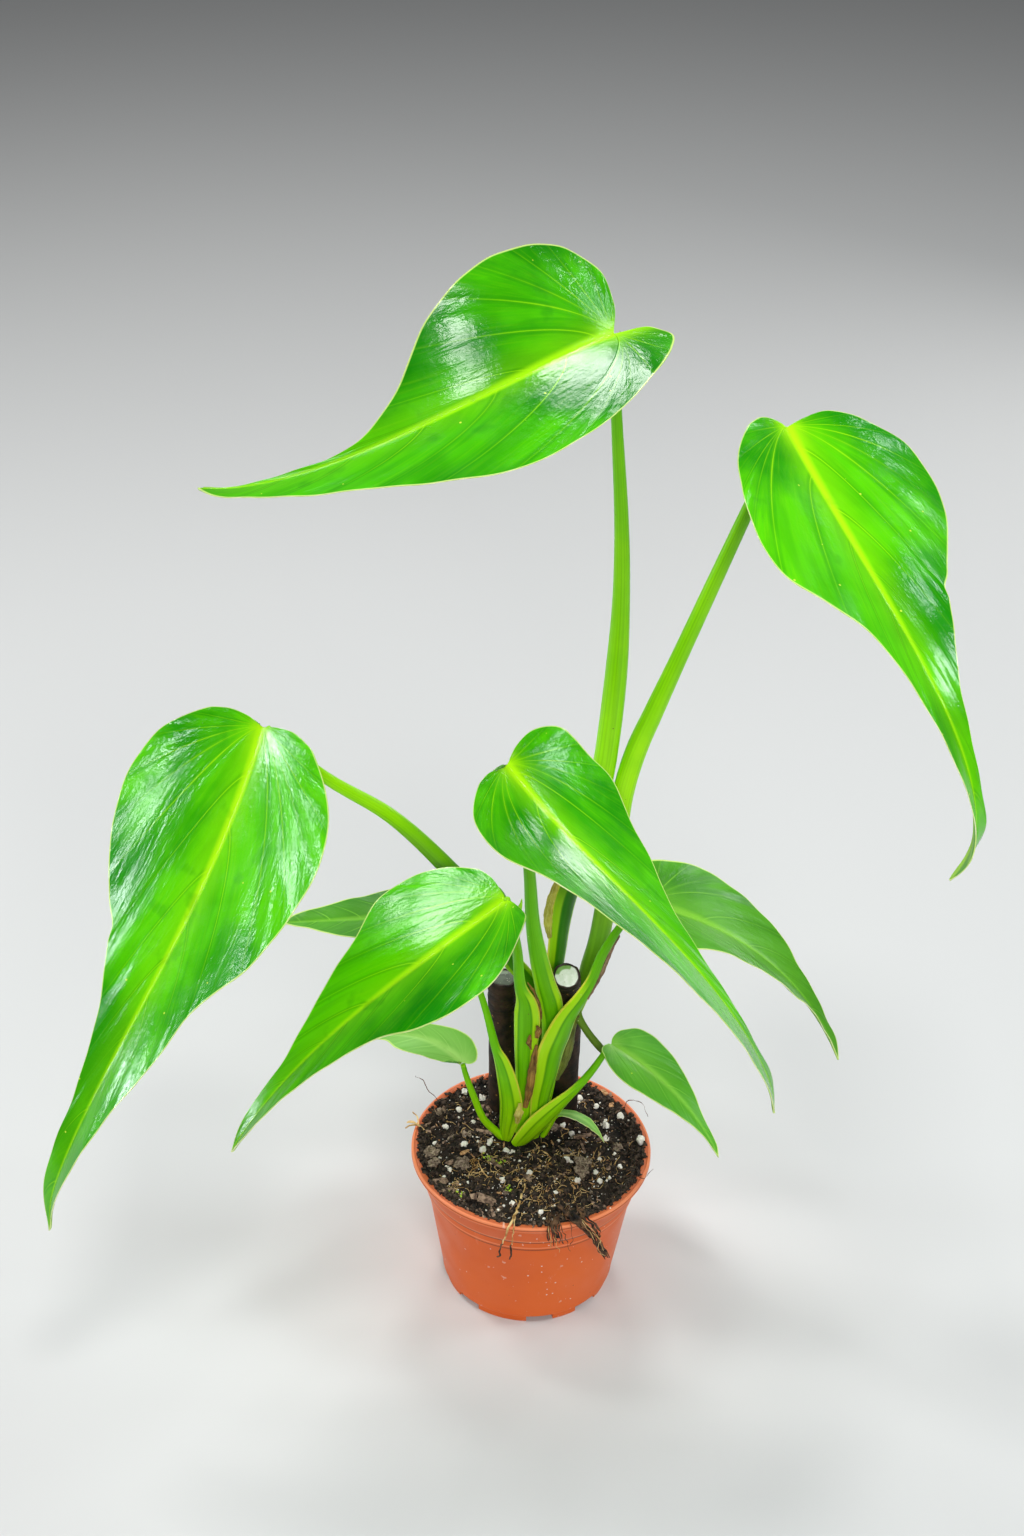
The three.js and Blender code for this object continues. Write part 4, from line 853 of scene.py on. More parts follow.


# Painted light low on the stalks, painted shade higher up near the blades.
STALK_LIME = stalk_finish(
    "stalk_lime", (80, 130, 240), ((0.38, 0.8, 0.002), (0.17, 0.58, 0.001), (0.13, 0.48, 0.001)),
)
# The tall stalks get a dark band of painted shadow near 215 mm, where the centre leaf shades them, then lime
# above it where light falls. The stalk at the back gets lighter greens there instead: painted light.
TALL_HEIGHTS = (120, 215, 290, 370, 500)
TALL_UPPER = ((0.34, 0.84, 0.002), (0.24, 0.66, 0.002), (0.12, 0.44, 0.002))
STALK_TALL_SHADOWED = stalk_finish("stalk_tall_shadowed", TALL_HEIGHTS, ((0.1, 0.36, 0.003), (0.025, 0.19, 0.001), *TALL_UPPER))
STALK_BACK_LIT = stalk_finish("stalk_back_lit", TALL_HEIGHTS, ((0.2, 0.54, 0.008), (0.26, 0.6, 0.03), *TALL_UPPER))
STALK_ROOT = stalk_finish("root_olive", (120, 155), ((0.1, 0.16, 0.015), (0.14, 0.26, 0.02)), roughness=0.5)
print("stalk finishes ready")

# %% Making the stalks
STALK_FINISHES = {"upper_right": STALK_BACK_LIT, "top": STALK_TALL_SHADOWED, "left": STALK_TALL_SHADOWED}
for stalk_name, (channel, route) in STALKS.items():
    width = route[-1][3]
    piece = rod(
        "petiole_" + stalk_name, route, channel, half_sides=16 if width > 3 else 12,
        end_caps=((0.7, 0.3), (0, 0.4)), lengthen=-1.8 if width > 3.5 else 0.1,
    )
    settle(piece, "stalk_green", [STALK_FINISHES.get(stalk_name, STALK_LIME)], "stalk_" + stalk_name)

AERIAL_ROOT = [
    [20, 19, 156, 4, 4, 0], [21.5, 15, 151, 3.8, 3.8, 0], [26, 13, 143.5, 3.8, 3.8, 0],
    [32.5, 13, 134, 3.8, 3.6, 0], [40.5, 14, 123.5, 3, 3, 0], [43, 14, 119, 1.6, 1.6, 0],
]
# The small dry tip of the front left stalk's sheath.
LIGULE_TIP = [
    [-10.6, -24, 241, 1.2, 1, 0], [-9.6, -24, 245.4, 2.2, 1.2, 0], [-8.9, -24, 248.6, 1.2, 0.9, 0],
    [-8.7, -24.2, 251.2, 0.4, 0.4, 0],
]
piece = rod("ligule_tip", LIGULE_TIP, (0, 1, 0), half_sides=8)
settle(piece, "stalk_green", [LEAF_MARGIN])

piece = rod("root_aerial", AERIAL_ROOT, (0, 1, 0), half_sides=10, end_caps=((0.6, 0.5), (0, 0.8)), rough=0.25)
settle(piece, "stalk_green", [STALK_ROOT], "aerial_root")

# %% [markdown]
# ## The cut stems and the withered sheaths
# Two older stems were cut off, perhaps for cuttings. Their bark is dark, with rusty scars, and the right
# one turns its pale, round cut face to the viewer. Dried remains of sheaths cling to the stalks. They use
# the same rod as the stalks, roughened by noise, with a cut face modelled at the end as a shallow dish.

# %% Sizes of the stems and scraps
# Each row of a stem: x, y, z and diameter. The scraps are written like the stalks.
STUBS = {
    "stub_left": [[-14.5, 34.5, 62, 15.5], [-15, 35, 100, 15], [-16, 36.5, 140, 15], [-16.4, 37, 157, 15]],
    "stub_right": [
        [15.5, 28, 62, 15.5], [15.5, 28, 110, 15], [15.6, 27.5, 142, 14.5], [15, 25.5, 158, 14],
        [14.8, 22, 167.5, 13.6], [14.6, 17.5, 174.5, 13.4],
    ],
}
SCRAPS = {
    "scrap_top": ([0.5, -0.85, 0], [
        [5.9, 30.4, 188, 2, 1.4, 0.5], [4.9, 29.6, 195, 4.4, 1.5, 0.8], [4.9, 28.6, 205, 5.6, 1.6, 0.8],
        [6.7, 27.6, 217, 4.6, 1.5, 0.6], [9, 27.6, 228, 1.8, 1.2, 0],
    ]),
    "scrap_right": ([0, 1, 0], [
        [25.2, 10.6, 166.5, 1.4, 1.2, 0.2], [29.5, 11.4, 177.5, 2.2, 1.3, 0.2],
        [32.3, 12, 186, 2.5, 1.3, 0.2], [35.5, 13, 196, 2, 1.2, 0.2], [38.9, 13.6, 203, 1.0, 1, 0],
    ]),
    "scrap_front": ([0, 1, 0], [
        [-3.6, 2.6, 103, 2.4, 1.4, 0.4], [-1.8, 3, 114, 4, 1.5, 0.6], [-0.6, 3, 128, 3.8, 1.5, 0.5],
        [1, 3.6, 142, 1.6, 1.2, 0],
    ]),
    "sheath_olive": ([-0.5, 0.85, 0], [
        [11, 14, 112, 4.5, 2.2, 0.5], [14.3, 14, 123, 7.5, 2.6, 0.8], [16.3, 14, 133.5, 7.7, 2.6, 0.9],
        [18, 14, 144, 5, 2.2, 0.7], [21, 14, 153, 2.4, 1.6, 0.2],
    ]),
}
print("stems and scraps:", ", ".join([*STUBS, *SCRAPS]))

# %% Finish of old wood and dry sheath
def old_stem_finish():
    stem = Finish("old_stem", Specular_IOR_Level=0.3)
    around, along = stem.chart("stalk")
    scar_place = stem.vector(stem.times(around, 1.5), stem.times(along, 16.0))
    scars = stem.noise(2.0, scar_place, detail=4.0)
    clouds = stem.clouds(160.0, 0.35, 0.65, detail=4.0)
    stem.colour = stem.mix(clouds, (0.008, 0.006, 0.004), (0.045, 0.022, 0.012))
    stem.paint(stem.between(scars, 0.55, 0.7, 0.0, 0.5), (0.06, 0.025, 0.01))
    stem.paint(stem.specks(330.0, 0.2, 0.16), (0.42, 0.2, 0.05))
    stem.bump(scars, 1.0, 0.8)
    stem.bump(stem.noise(420.0, detail=4.0), 0.5, 0.8)
    return stem.finish(0.7)


def cut_face_finish(name, flesh, tint):
    """The cut face of a stem: pale flesh, a tinted quarter, dots of the bundles and a dark ring of bark."""
    cut = Finish(name, Specular_IOR_Level=0.4)
    radius, turn = cut.chart("cap")
    uneven = cut.math("ADD", turn, cut.times(cut.noise(150.0, detail=3.0), 0.1))
    quarter = cut.times(cut.between(uneven, 0.7, 0.74), cut.between(uneven, 1.03, 0.99))
    flesh = cut.mix(cut.clouds(260.0, 0.35, 0.65, 0.0, 0.25), flesh, tint)
    quarter = cut.times(quarter, cut.between(radius, 0.5, 0.62))
    cut.colour = cut.mix(quarter, flesh, tint)
    cut.paint(cut.specks(900.0, 0.25, 0.3), (0.55, 0.5, 0.4))
    cut.paint(cut.between(radius, 0.8, 0.86), (0.03, 0.012, 0.008))
    cut.bump(cut.noise(700.0, detail=3.0), 0.2, 0.6)
    return cut.finish(0.5)


def dry_sheath_finish(name, dark, light, streak):
    dry = Finish(name, Specular_IOR_Level=0.3)
    around, along = dry.chart("stalk")
    line_place = dry.vector(dry.times(around, 30.0), dry.times(along, 2.0))
    lines = dry.noise(1.5, line_place, detail=5.0, roughness=0.65)
    dry.colour = dry.mix(dry.clouds(140.0, 0.35, 0.65, detail=4.0), dark, light)
    dry.paint(dry.between(lines, 0.45, 0.65, 0.0, 0.8), streak)
    dry.bump(lines, 0.5, 0.8)
    return dry.finish(0.65)


OLD_STEM = old_stem_finish()
CUT_RIGHT = cut_face_finish("cut_face_right", (0.95, 0.95, 0.92), (0.2, 0.4, 0.08))
CUT_LEFT = cut_face_finish("cut_face_left", (0.07, 0.09, 0.06), (0.22, 0.27, 0.19))
DRY_BROWN = dry_sheath_finish("dry_brown", (0.08, 0.03, 0.004), (0.34, 0.16, 0.025), (0.58, 0.36, 0.09))
DRY_PURPLE = dry_sheath_finish("dry_purple", (0.12, 0.05, 0.035), (0.36, 0.2, 0.13), (0.55, 0.4, 0.22))
DRY_YELLOW = dry_sheath_finish("dry_yellow", (0.38, 0.32, 0.03), (0.68, 0.6, 0.09), (0.82, 0.78, 0.25))
DRY_OLIVE = dry_sheath_finish("dry_olive", (0.07, 0.09, 0.01), (0.16, 0.2, 0.02), (0.28, 0.3, 0.06))
print("stem finishes ready")

# %% Making the stems and scraps
CUT_CAPS = ((0.96, 0.35), (0.86, 0.2), (0.8, -0.35), (0.5, -0.5), (0, -0.45))
for stem_name, rows in STUBS.items():
    route = [[x, y, z, d, d, 0] for x, y, z, d in rows]
    piece = rod(
        "cut_" + stem_name, route, (0, 1, 0.001), half_sides=22, per_span=8, end_caps=CUT_CAPS, rough=0.55,
    )
    cut_finish = CUT_RIGHT if stem_name == "stub_right" else CUT_LEFT
    settle(piece, "old_stem", [OLD_STEM, cut_finish], stem_name)
    last, before = Vector(rows[-1][:3]), Vector(rows[-2][:3])
    cut_way = (last - before).normalized()
    for face in piece.data.polygons:
        offset = face.center / MM - last
        on_cut = offset.dot(cut_way) > -1.2 and offset.length < rows[-1][3] * 0.46
        if on_cut and face.normal.dot(cut_way) > 0.3:
            face.material_index = 1

SCRAP_FINISHES = {
    "scrap_top": DRY_YELLOW, "scrap_right": DRY_PURPLE, "scrap_front": DRY_BROWN, "sheath_olive": DRY_OLIVE,
}
for scrap_name, (channel, route) in SCRAPS.items():
    piece = rod("withered_" + scrap_name, route, channel, half_sides=8, rough=0.5)
    settle(piece, "dry_sheath", [SCRAP_FINISHES[scrap_name]], scrap_name)

# Small dry flakes: x, y, z, width and thickness of each row.
FLAKES = {
    "dry_flake_high": [
        [-4.6, 3, 181.4, 0.6, 0.6], [-1.6, 3, 176.6, 1.5, 0.8], [1.6, 3, 168, 1.4, 0.8],
        [2.8, 3, 158.5, 0.6, 0.6],
    ],
    "dry_flake_middle": [[0.9, 1, 156.4, 1.2, 0.8], [1.6, 1, 153, 3, 0.9], [0.7, 1, 149, 1.4, 0.8]],
    "dry_flake_low": [[-2.3, 0.6, 150.6, 1.2, 0.8], [-2.8, 0.6, 146.5, 2.6, 0.9], [-1.8, 0.6, 142, 1.6, 0.8]],
    "dry_flake_base": [
        [-6.4, -3.6, 110.6, 1.4, 0.8], [-6.6, -4, 104.8, 4.2, 1], [-7.4, -4.4, 98.4, 2.4, 0.9],
    ],
}
for flake_name, rows in FLAKES.items():
    piece = rod(flake_name, [[*row, 0.3] for row in rows], (0, 1, 0), half_sides=6, rough=0.7)
    settle(piece, "dry_sheath", [DRY_YELLOW if flake_name == "dry_flake_base" else DRY_BROWN])

# %% [markdown]
# ## The pot
# The pot is one moulding of thin plastic: a bead round the rim, a tapered collar, a band, and a plain
# body on a foot ring cut into feet. It is modelled as on a wheel: a circle is extruded ring by ring up
# the outside, over the rim and down the inside. The feet are extruded from the underside, only where a
# foot stands, and the drain holes are cut with a boolean at the end.

# %% Sizes of the pot
POT_SIDES = 288
# Radius and height of each ring, from the lower edge up the outside.
POT_OUTSIDE = [
    (42.6, 4.0), (43.25, 4.3), (43.5, 4.9), (43.5, 6.0), (44.3, 11.0), (51.85, 58.6), (52.05, 59.3),
    (52.7, 59.45), (53.0, 59.7), (53.1, 60.4), (53.65, 64.9), (53.75, 65.3), (54.3, 65.4), (54.55, 65.8),
    (57.3, 76.6), (57.7, 77.0), (59.2, 77.0), (59.75, 77.25), (60.0, 77.8), (60.0, 78.25), (59.72, 78.45),
    (59.72, 78.6), (60.0, 78.8), (60.0, 79.3), (59.8, 79.8), (59.3, 80.0),
]
POT_INSIDE = [
    (58.75, 80.0), (58.55, 79.8), (58.4, 79.8), (58.2, 80.0), (57.0, 80.0), (56.4, 79.7), (56.1, 78.8),
    (56.0, 77.0), (53.0, 65.5), (50.5, 59.5), (42.2, 6.4), (41.4, 5.6), (38.0, 5.5), (15.0, 5.5), (4.0, 5.5),
]
POT_UNDERSIDE = [(42.0, 4.0), (39.5, 4.0), (38.0, 4.0), (15.0, 4.0), (14.0, 4.0), (4.0, 4.0)]
# First and last degree of each foot of a quarter, from the front towards +X, as the frame's pot has them.
FEET = [(18.75, 36.25), (55.0, 90.0)]
UNDERSIDE, FOOT_STEP = 4.0, 1.0
DISC_RADIUS, FOOT_RING = 14, (39.5, 42)
DRAIN_RADIUS, DRAIN_CIRCLE, DRAIN_COUNT = 4.0, 27.0, 8


def extrude_up(height):
    bpy.ops.mesh.extrude_region_move(TRANSFORM_OT_translate={"value": (0, 0, height * MM)})


def extrude_rings(rings):
    """Extrudes the selected first ring through the others, each a radius and a height, and closes it."""
    for (old_radius, old_height), (radius, height) in zip(rings, rings[1:]):
        extrude_up(height - old_height)
        k = radius / old_radius
        bpy.ops.transform.resize(value=(k, k, 1), center_override=(0, 0, height * MM))
    bpy.ops.mesh.edge_face_add()


def select_under(piece, inner, outer, height, spans=((-1, 91),)):
    """Selects the faces under a piece in a ring, at a height, and within spans of degrees of each quarter."""
    mesh = bmesh.from_edit_mesh(piece.data)
    bpy.ops.mesh.select_all(action="DESELECT")
    bpy.ops.mesh.select_mode(type="FACE")
    for face in mesh.faces:
        centre = face.calc_center_median() / MM
        turn = math.degrees(math.atan2(centre.x, -centre.y)) % 90
        in_ring = inner < math.hypot(centre.x, centre.y) < outer and abs(centre.z - height) < 0.1
        if face.normal.z < -0.9 and in_ring and any(first < turn < last for first, last in spans):
            face.select = True
    mesh.select_flush_mode()
    bmesh.update_edit_mesh(piece.data)


print("rings of the pot:", len(POT_OUTSIDE + POT_INSIDE + POT_UNDERSIDE))

# %% Turning the pot
deselect_all()
first_radius, first_height = POT_OUTSIDE[0]
low_edge = (0, 0, first_height * MM)
bpy.ops.mesh.primitive_circle_add(vertices=POT_SIDES, radius=first_radius * MM, location=low_edge)
pot = bpy.context.object
pot.name = pot.data.name = "nursery_pot"
bpy.ops.object.transform_apply(location=True)
edit(pot)
extrude_rings(POT_OUTSIDE + POT_INSIDE)
bpy.ops.mesh.select_all(action="DESELECT")
bpy.ops.mesh.select_mode(type="EDGE")
bpy.ops.mesh.select_non_manifold()
extrude_rings([POT_OUTSIDE[0]] + POT_UNDERSIDE)
bpy.ops.mesh.select_all(action="SELECT")
bpy.ops.mesh.normals_make_consistent(inside=False)

# The disc in the middle and the feet go down from the underside to the floor.
select_under(pot, -1, DISC_RADIUS, UNDERSIDE)
extrude_up(-UNDERSIDE)
select_under(pot, *FOOT_RING, UNDERSIDE)
extrude_up(-FOOT_STEP)
select_under(pot, *FOOT_RING, UNDERSIDE - FOOT_STEP, FEET)
extrude_up(FOOT_STEP - UNDERSIDE)
leave_edit()
print("pot turned:", len(pot.data.polygons), "faces")

# %% Drain holes and soft edges
deselect_all()
cutters = []
for i in range(DRAIN_COUNT):
    angle = 2 * math.pi * (i + 0.5) / DRAIN_COUNT
    place = (DRAIN_CIRCLE * math.cos(angle) * MM, DRAIN_CIRCLE * math.sin(angle) * MM, 4.7 * MM)
    bpy.ops.mesh.primitive_cylinder_add(vertices=32, radius=DRAIN_RADIUS * MM, depth=4 * MM, location=place)
    cutters.append(bpy.context.object)
choose(*cutters)
bpy.ops.object.join()
cutter = bpy.context.object
holes = pot.modifiers.new("drain holes", "BOOLEAN")
holes.operation = "DIFFERENCE"
holes.object = cutter
holes.solver = "EXACT"
soft = pot.modifiers.new("soft edges", "BEVEL")
soft.width = 0.12 * MM
soft.segments = 2
soft.limit_method = "ANGLE"
soft.angle_limit = math.radians(40)
apply_modifiers(pot)
bpy.data.objects.remove(cutter)
make_closed(pot, 0.001)
smooth(pot, 35)
print("pot with its holes:", len(pot.data.polygons), "faces")

# %% [markdown]
# ## Finish of the pot
# The plastic is a warm terracotta orange with a satin skin. Use has left scuffs, thin scratches, splashes
# of dried lime and crumbs of peat on it. The bead of the rim and the crest above each groove carry painted
# highlights, and the grooves and the inner slope of the rim painted shade.

# %% Pot finish
def pot_finish():
    skin = Finish("terracotta_plastic", Specular_IOR_Level=0.28)
    clouds = skin.clouds(14.0, 0.3, 0.7, detail=4.0)
    skin.colour = skin.mix(clouds, (0.76, 0.118, 0.012), (0.86, 0.155, 0.02))
    height = skin.add("SeparateXYZ", {0: skin.place()}, out=2)
    # Painted highlight: the bead of the rim is paler.
    skin.paint(skin.between(height, 0.0765, 0.0785, 0.0, 0.4), (0.9, 0.27, 0.12))
    # Painted shade darkens the grooves, and a painted highlight lights the crest above each: height and reach
    # in mm, strength.
    for groove, reach, strength in ((76.5, 1.5, 1.0), (78.6, 0.5, 0.8), (65.4, 1.4, 1.0), (58.9, 1.5, 1.0)):
        groove_shade = skin.between(skin.off(height, groove * MM), reach * MM, 0.0, 0.0, strength)
        skin.paint(groove_shade, (0.1, 0.013, 0.004))
    # Painted highlight on the crest just above each groove.
    for crest in (60.9, 66.5, 77.4, 79.6):
        crest_highlight = skin.between(skin.off(height, crest * MM), 0.7 * MM, 0.2 * MM, 0.0, 0.5)
        skin.paint(crest_highlight, (0.95, 0.36, 0.18))
    flat_place = skin.add("VectorMath", {0: skin.place(), 1: (1.0, 1.0, 0.0)}, operation="MULTIPLY")
    radius = skin.add("VectorMath", {0: flat_place}, out=1, operation="LENGTH")
    # Painted shade on the inner slope of the rim, high up and inside the bead.
    high_up = skin.between(height, 0.0785, 0.079, 0.0, 0.7)
    inner = skin.times(skin.between(radius, 0.0591, 0.0584), high_up)
    skin.paint(inner, (0.42, 0.07, 0.012))
    wear_place = skin.add("Mapping", {"Vector": skin.place(), "Scale": (1.0, 1.0, 0.35)})
    worn = skin.noise(120.0, wear_place, detail=6.0, roughness=0.7)
    skin.paint(skin.between(worn, 0.62, 0.74, 0.0, 0.3), (0.85, 0.42, 0.26))
    tilt = {"Vector": skin.place(), "Rotation": (0.5, 0.7, 0.3), "Scale": (1.0, 0.05, 1.0)}
    tilted = skin.add("Mapping", tilt)
    scratches = skin.between(skin.noise(300.0, tilted, detail=2.0), 0.71, 0.75, 0.0, 0.55)
    skin.paint(scratches, (0.88, 0.6, 0.48))
    skin.paint(skin.specks(160.0, 0.085, 0.3), (0.9, 0.76, 0.66))
    splashed = skin.clouds(22.0, 0.5, 0.6, detail=1.0)
    splashes = skin.times(skin.specks(320.0, 0.16, 0.22), splashed)
    skin.paint(splashes, (0.92, 0.8, 0.72))
    skin.paint(skin.specks(220.0, 0.07, 0.12), (0.12, 0.03, 0.015))
    skin.bump(skin.noise(1400.0, detail=2.0), 0.05, 0.35)
    skin.bump(scratches, 0.05, 0.4)
    shine = skin.clouds(50.0, 0.3, 0.7, 0.34, 0.5, detail=4.0)
    return skin.finish(shine)


settle(pot, "terracotta_plastic", [pot_finish()], "pot")

# %% [markdown]
# ## The soil
# Peat fills the pot to a few millimetres under the rim, a little higher in front. Its surface is a round
# grid, from the middle to the wall and down to the floor of the pot, so that the body is closed. Noise in
# three sizes lifts clods out of it. The crown, from which all stalks rise, sits just under the surface.

# %% Form of the soil
SOIL_EDGE = [
    (55.1, 75.2), (54.6, 72.5), (52.6, 65.3), (50.1, 59.4), (41.6, 5.9), (30.0, 5.9), (15.0, 5.9), (0.0, 5.9),
]
SOIL_RADIUS = 55.4
SOIL_TOP_RINGS = 88
SOIL_SIDES = 300


def soil_height(x, y):
    r = np.hypot(x, y)
    mound = 75.5 + 1.8 * (1 - (r / 56) ** 2) + 1.5 * np.maximum(0, -y / 56)
    return mound + 0.5 * np.sin(0.31 * x + 1) * np.cos(0.27 * y) + 0.35 * np.sin(0.13 * x - 0.4 * y)


def clods(x, y):
    """Height of the clods on the soil, in mm."""
    lift = np.empty(len(x))
    for i, (px, py) in enumerate(zip(x, y)):
        p = Vector((px, py, 0))
        big = noise.noise(p * 0.1 + Vector((3, 1, 4)))
        middle = noise.noise(p * 0.28 + Vector((9, 2, 6)))
        small = noise.turbulence(p * 0.7, 3, False)
        lift[i] = 1.1 * big + 0.9 * max(0.0, middle) + 1.1 * small - 0.2
    return lift


def soil_form(u, v):
    rows = SOIL_TOP_RINGS + len(SOIL_EDGE)
    j = np.round(v * rows).astype(int)
    angle = 2 * np.pi * u
    top = j <= SOIL_TOP_RINGS
    edge = np.array(SOIL_EDGE)[np.clip(j - SOIL_TOP_RINGS - 1, 0, len(SOIL_EDGE) - 1)]
    r = np.where(top, SOIL_RADIUS * (np.minimum(j, SOIL_TOP_RINGS) / SOIL_TOP_RINGS) ** 0.8, edge[:, 0])
    x, y = r * np.cos(angle), r * np.sin(angle)
    z = edge[:, 1].copy()
    z[top] = soil_height(x[top], y[top]) + clods(x[top], y[top])
    return np.stack([x, y, z], 1), {"soil": np.stack([x / 10, y / 10], 1)}


def soil_finish():
    peat = Finish("potting_soil", Specular_IOR_Level=0.25)
    clouds = peat.clouds(120.0, 0.35, 0.7, detail=6.0, roughness=0.7)
    peat.colour = peat.mix(clouds, (0.006, 0.005, 0.004), (0.034, 0.024, 0.017))
    peat.paint(peat.specks(700.0, 0.25, 0.12), (0.16, 0.1, 0.055))
    peat.paint(peat.specks(1100.0, 0.2, 0.06), (0.4, 0.35, 0.28))
    peat.bump(peat.noise(500.0, detail=5.0, roughness=0.7), 0.8, 1.0)
    return peat.finish(0.85)


SOIL = soil_finish()
soil = grid_piece("potting_soil_body", SOIL_SIDES, SOIL_TOP_RINGS + len(SOIL_EDGE), soil_form)
make_closed(soil)
smooth(soil, 60)
settle(soil, "potting_soil", [SOIL], "soil")

crown_rows = ((60.5, 20), (62, 25.5), (70, 26.5), (74.5, 25.5), (75.8, 20))
crown_route = [[-4.5, 13, z, d, d, 0] for z, d in crown_rows]
crown = rod("root_crown", crown_route, (0, 1, 0.001), half_sides=16, rough=0.3)
settle(crown, "old_stem", [OLD_STEM], "crown")

# %% [markdown]
# ## What lies on the soil
# Perlite is volcanic glass puffed by heat: white, angular grains of 2 to 4 mm. Bark chips, crumbs of
# peat and pale dust lie between them. One grain of each kind is modelled from a sphere or a cube and
# crumpled. Its copies are turned, sized and pressed into the soil, the large ones where the photograph
# shows them and the small ones at random with a fixed seed. All copies of a kind share one mesh.

# %% Bank of peat
BANK_SECTION = [
    (47.5, 74.5), (50.0, 77.2), (52.5, 78.2), (55.0, 79.3), (56.9, 80.1), (57.3, 79.9), (56.2, 78.4),
    (53.0, 75.0), (47.5, 74.5),
]


def bank_form(u, v):
    """A ring of peat banked up against the wall, to the top of the rim's inner slope."""
    angle = 2 * np.pi * v
    section = np.array(BANK_SECTION)
    t = u * (len(section) - 1)
    r, z = (np.interp(t, np.arange(len(section)), section[:, k]) for k in (0, 1))
    x, y = r * np.cos(angle), r * np.sin(angle)
    lift = np.where(t < 4.5, clods(x, y) - 0.5, 0) * ease(r, 48, 50)
    return np.stack([x, y, z + np.minimum(lift, 1.4)], 1), {"soil": np.stack([x / 10, y / 10], 1)}


bank = grid_piece("peat_bank", 32, 420, bank_form)
make_closed(bank)
smooth(bank, 60)
settle(bank, "potting_soil", [SOIL])

# %% Helpers for grains
# Loose pieces lie within this radius, and clear of the crown, in mm.
SOIL_REACH = 54.5
CROWN_PLACE, CROWN_CLEAR = (-4.5, 12), 12
dice = random.Random(41)
ready = bpy.context.evaluated_depsgraph_get()
soil_trees = [BVHTree.FromObject(piece, ready) for piece in (soil, bank)]


def on_soil(x, y):
    """Height of the soil over a place, in mm."""
    hits = [tree.ray_cast(Vector((x, y, 200)) * MM, Vector((0, 0, -1)))[0] for tree in soil_trees]
    return max([hit.z / MM for hit in hits if hit] or [76.0])


def base_grain(kind, crumple, stretch=(1, 1, 1)):
    """The points and faces of one grain about 1 mm across: a "clod", "lump", "crumb" or "chip"."""
    deselect_all()
    if kind == "chip":
        bpy.ops.mesh.primitive_cube_add(size=0.8)
        edit(bpy.context.object)
        bpy.ops.mesh.bevel(offset=0.14, segments=1, affect="EDGES")
        leave_edit()
    else:
        fineness = {"clod": 4, "lump": 2, "crumb": 1}[kind]
        bpy.ops.mesh.primitive_ico_sphere_add(subdivisions=fineness, radius=0.5)
    grain = bpy.context.object
    start = Vector((crumple * 7, 2, 5))
    points = []
    for vertex in grain.data.vertices:
        shift = noise.noise_vector(vertex.co * 2.3 + start) * crumple
        if kind == "clod":
            shift += noise.noise_vector(vertex.co * 9 + start) * 0.16
        points.append(vertex.co + shift)
    faces = [list(face.vertices) for face in grain.data.polygons]
    bpy.ops.object.delete()
    return np.array(points) * np.array(stretch), faces


def scatter(name, bases, places, material, flat=False, angular=False):
    """One mesh from copies of the base grains. places: x, y, size in mm, and share sunk into the soil."""
    points, faces = [], []
    for x, y, size, sunk in places:
        base_points, base_faces = dice.choice(bases)
        turn = Matrix.Rotation(dice.uniform(0, 6.28), 3, "Z")
        tilt = Matrix.Rotation(dice.gauss(0, 0.25 if flat else 1.5), 3, dice.choice("XY"))
        turned = base_points @ np.array(turn @ tilt).T * size
        height = -turned[:, 2].min() * 2 * (0.5 - sunk)
        faces += [[k + len(points) for k in face] for face in base_faces]
        points += (turned + (x, y, on_soil(x, y) + height)).tolist()
    mesh = bpy.data.meshes.new(name)
    mesh.from_pydata((np.array(points) * MM).tolist(), [], faces)
    piece = bpy.data.objects.new(name, mesh)
    bpy.context.scene.collection.objects.link(piece)
    smooth(piece, 12 if angular else 35)
    settle(piece, "potting_soil", [material])


def by_the_wall(count, low, high):
    """Places in the bank of peat that leans against the wall of the pot."""
    places = []
    for _ in range(count):
        r, a = 50 + 7.2 * dice.random() ** 0.7, dice.uniform(0, 2 * math.pi)
        places.append((r * math.cos(a), r * math.sin(a), dice.uniform(low, high), 0.35))
    return places


def anywhere(count, low, high, sunk=0.3, patch=None):
    """Random places on the soil, clear of the stalks and the stems."""
    places = []
    while len(places) < count:
        r, a = SOIL_REACH * math.sqrt(dice.random()), dice.uniform(0, 2 * math.pi)
        x, y = r * math.cos(a), r * math.sin(a)
        if patch:
            x, y = patch[0] + dice.gauss(0, patch[2]), patch[1] + dice.gauss(0, patch[2])
        if math.hypot(x, y) < SOIL_REACH and math.dist((x, y), CROWN_PLACE) > CROWN_CLEAR:
            places.append((x, y, low + (high - low) * dice.random() ** 2.2, sunk))
    return places


def grain_finish(name, dark, light, scale=900.0, roughness=0.75, pits=0.25):
    grain = Finish(name, Specular_IOR_Level=0.3)
    grain.colour = grain.mix(grain.clouds(scale, 0.35, 0.65, detail=4.0), dark, light)
    grain.bump(grain.noise(scale * 1.6, detail=4.0, roughness=0.7), pits, 1.0)
    return grain.finish(roughness)


print("grain helpers ready")

# %% Grains
PERLITE = grain_finish("perlite", (0.88, 0.8, 0.68), (1.0, 0.96, 0.88), pits=0.08)
PEAT = grain_finish("peat_crumbs", (0.006, 0.005, 0.003), (0.078, 0.05, 0.033))
CLOD = grain_finish("peat_clod", (0.13, 0.09, 0.06), (0.42, 0.32, 0.23), pits=0.4)
BARK = grain_finish("bark_chips", (0.08, 0.045, 0.03), (0.38, 0.25, 0.17), scale=500.0)
TAN = grain_finish("tan_chips", (0.3, 0.13, 0.05), (0.62, 0.36, 0.17))
MOSS = grain_finish("moss_leaflets", (0.2, 0.4, 0.01), (0.6, 0.8, 0.06), roughness=0.5)

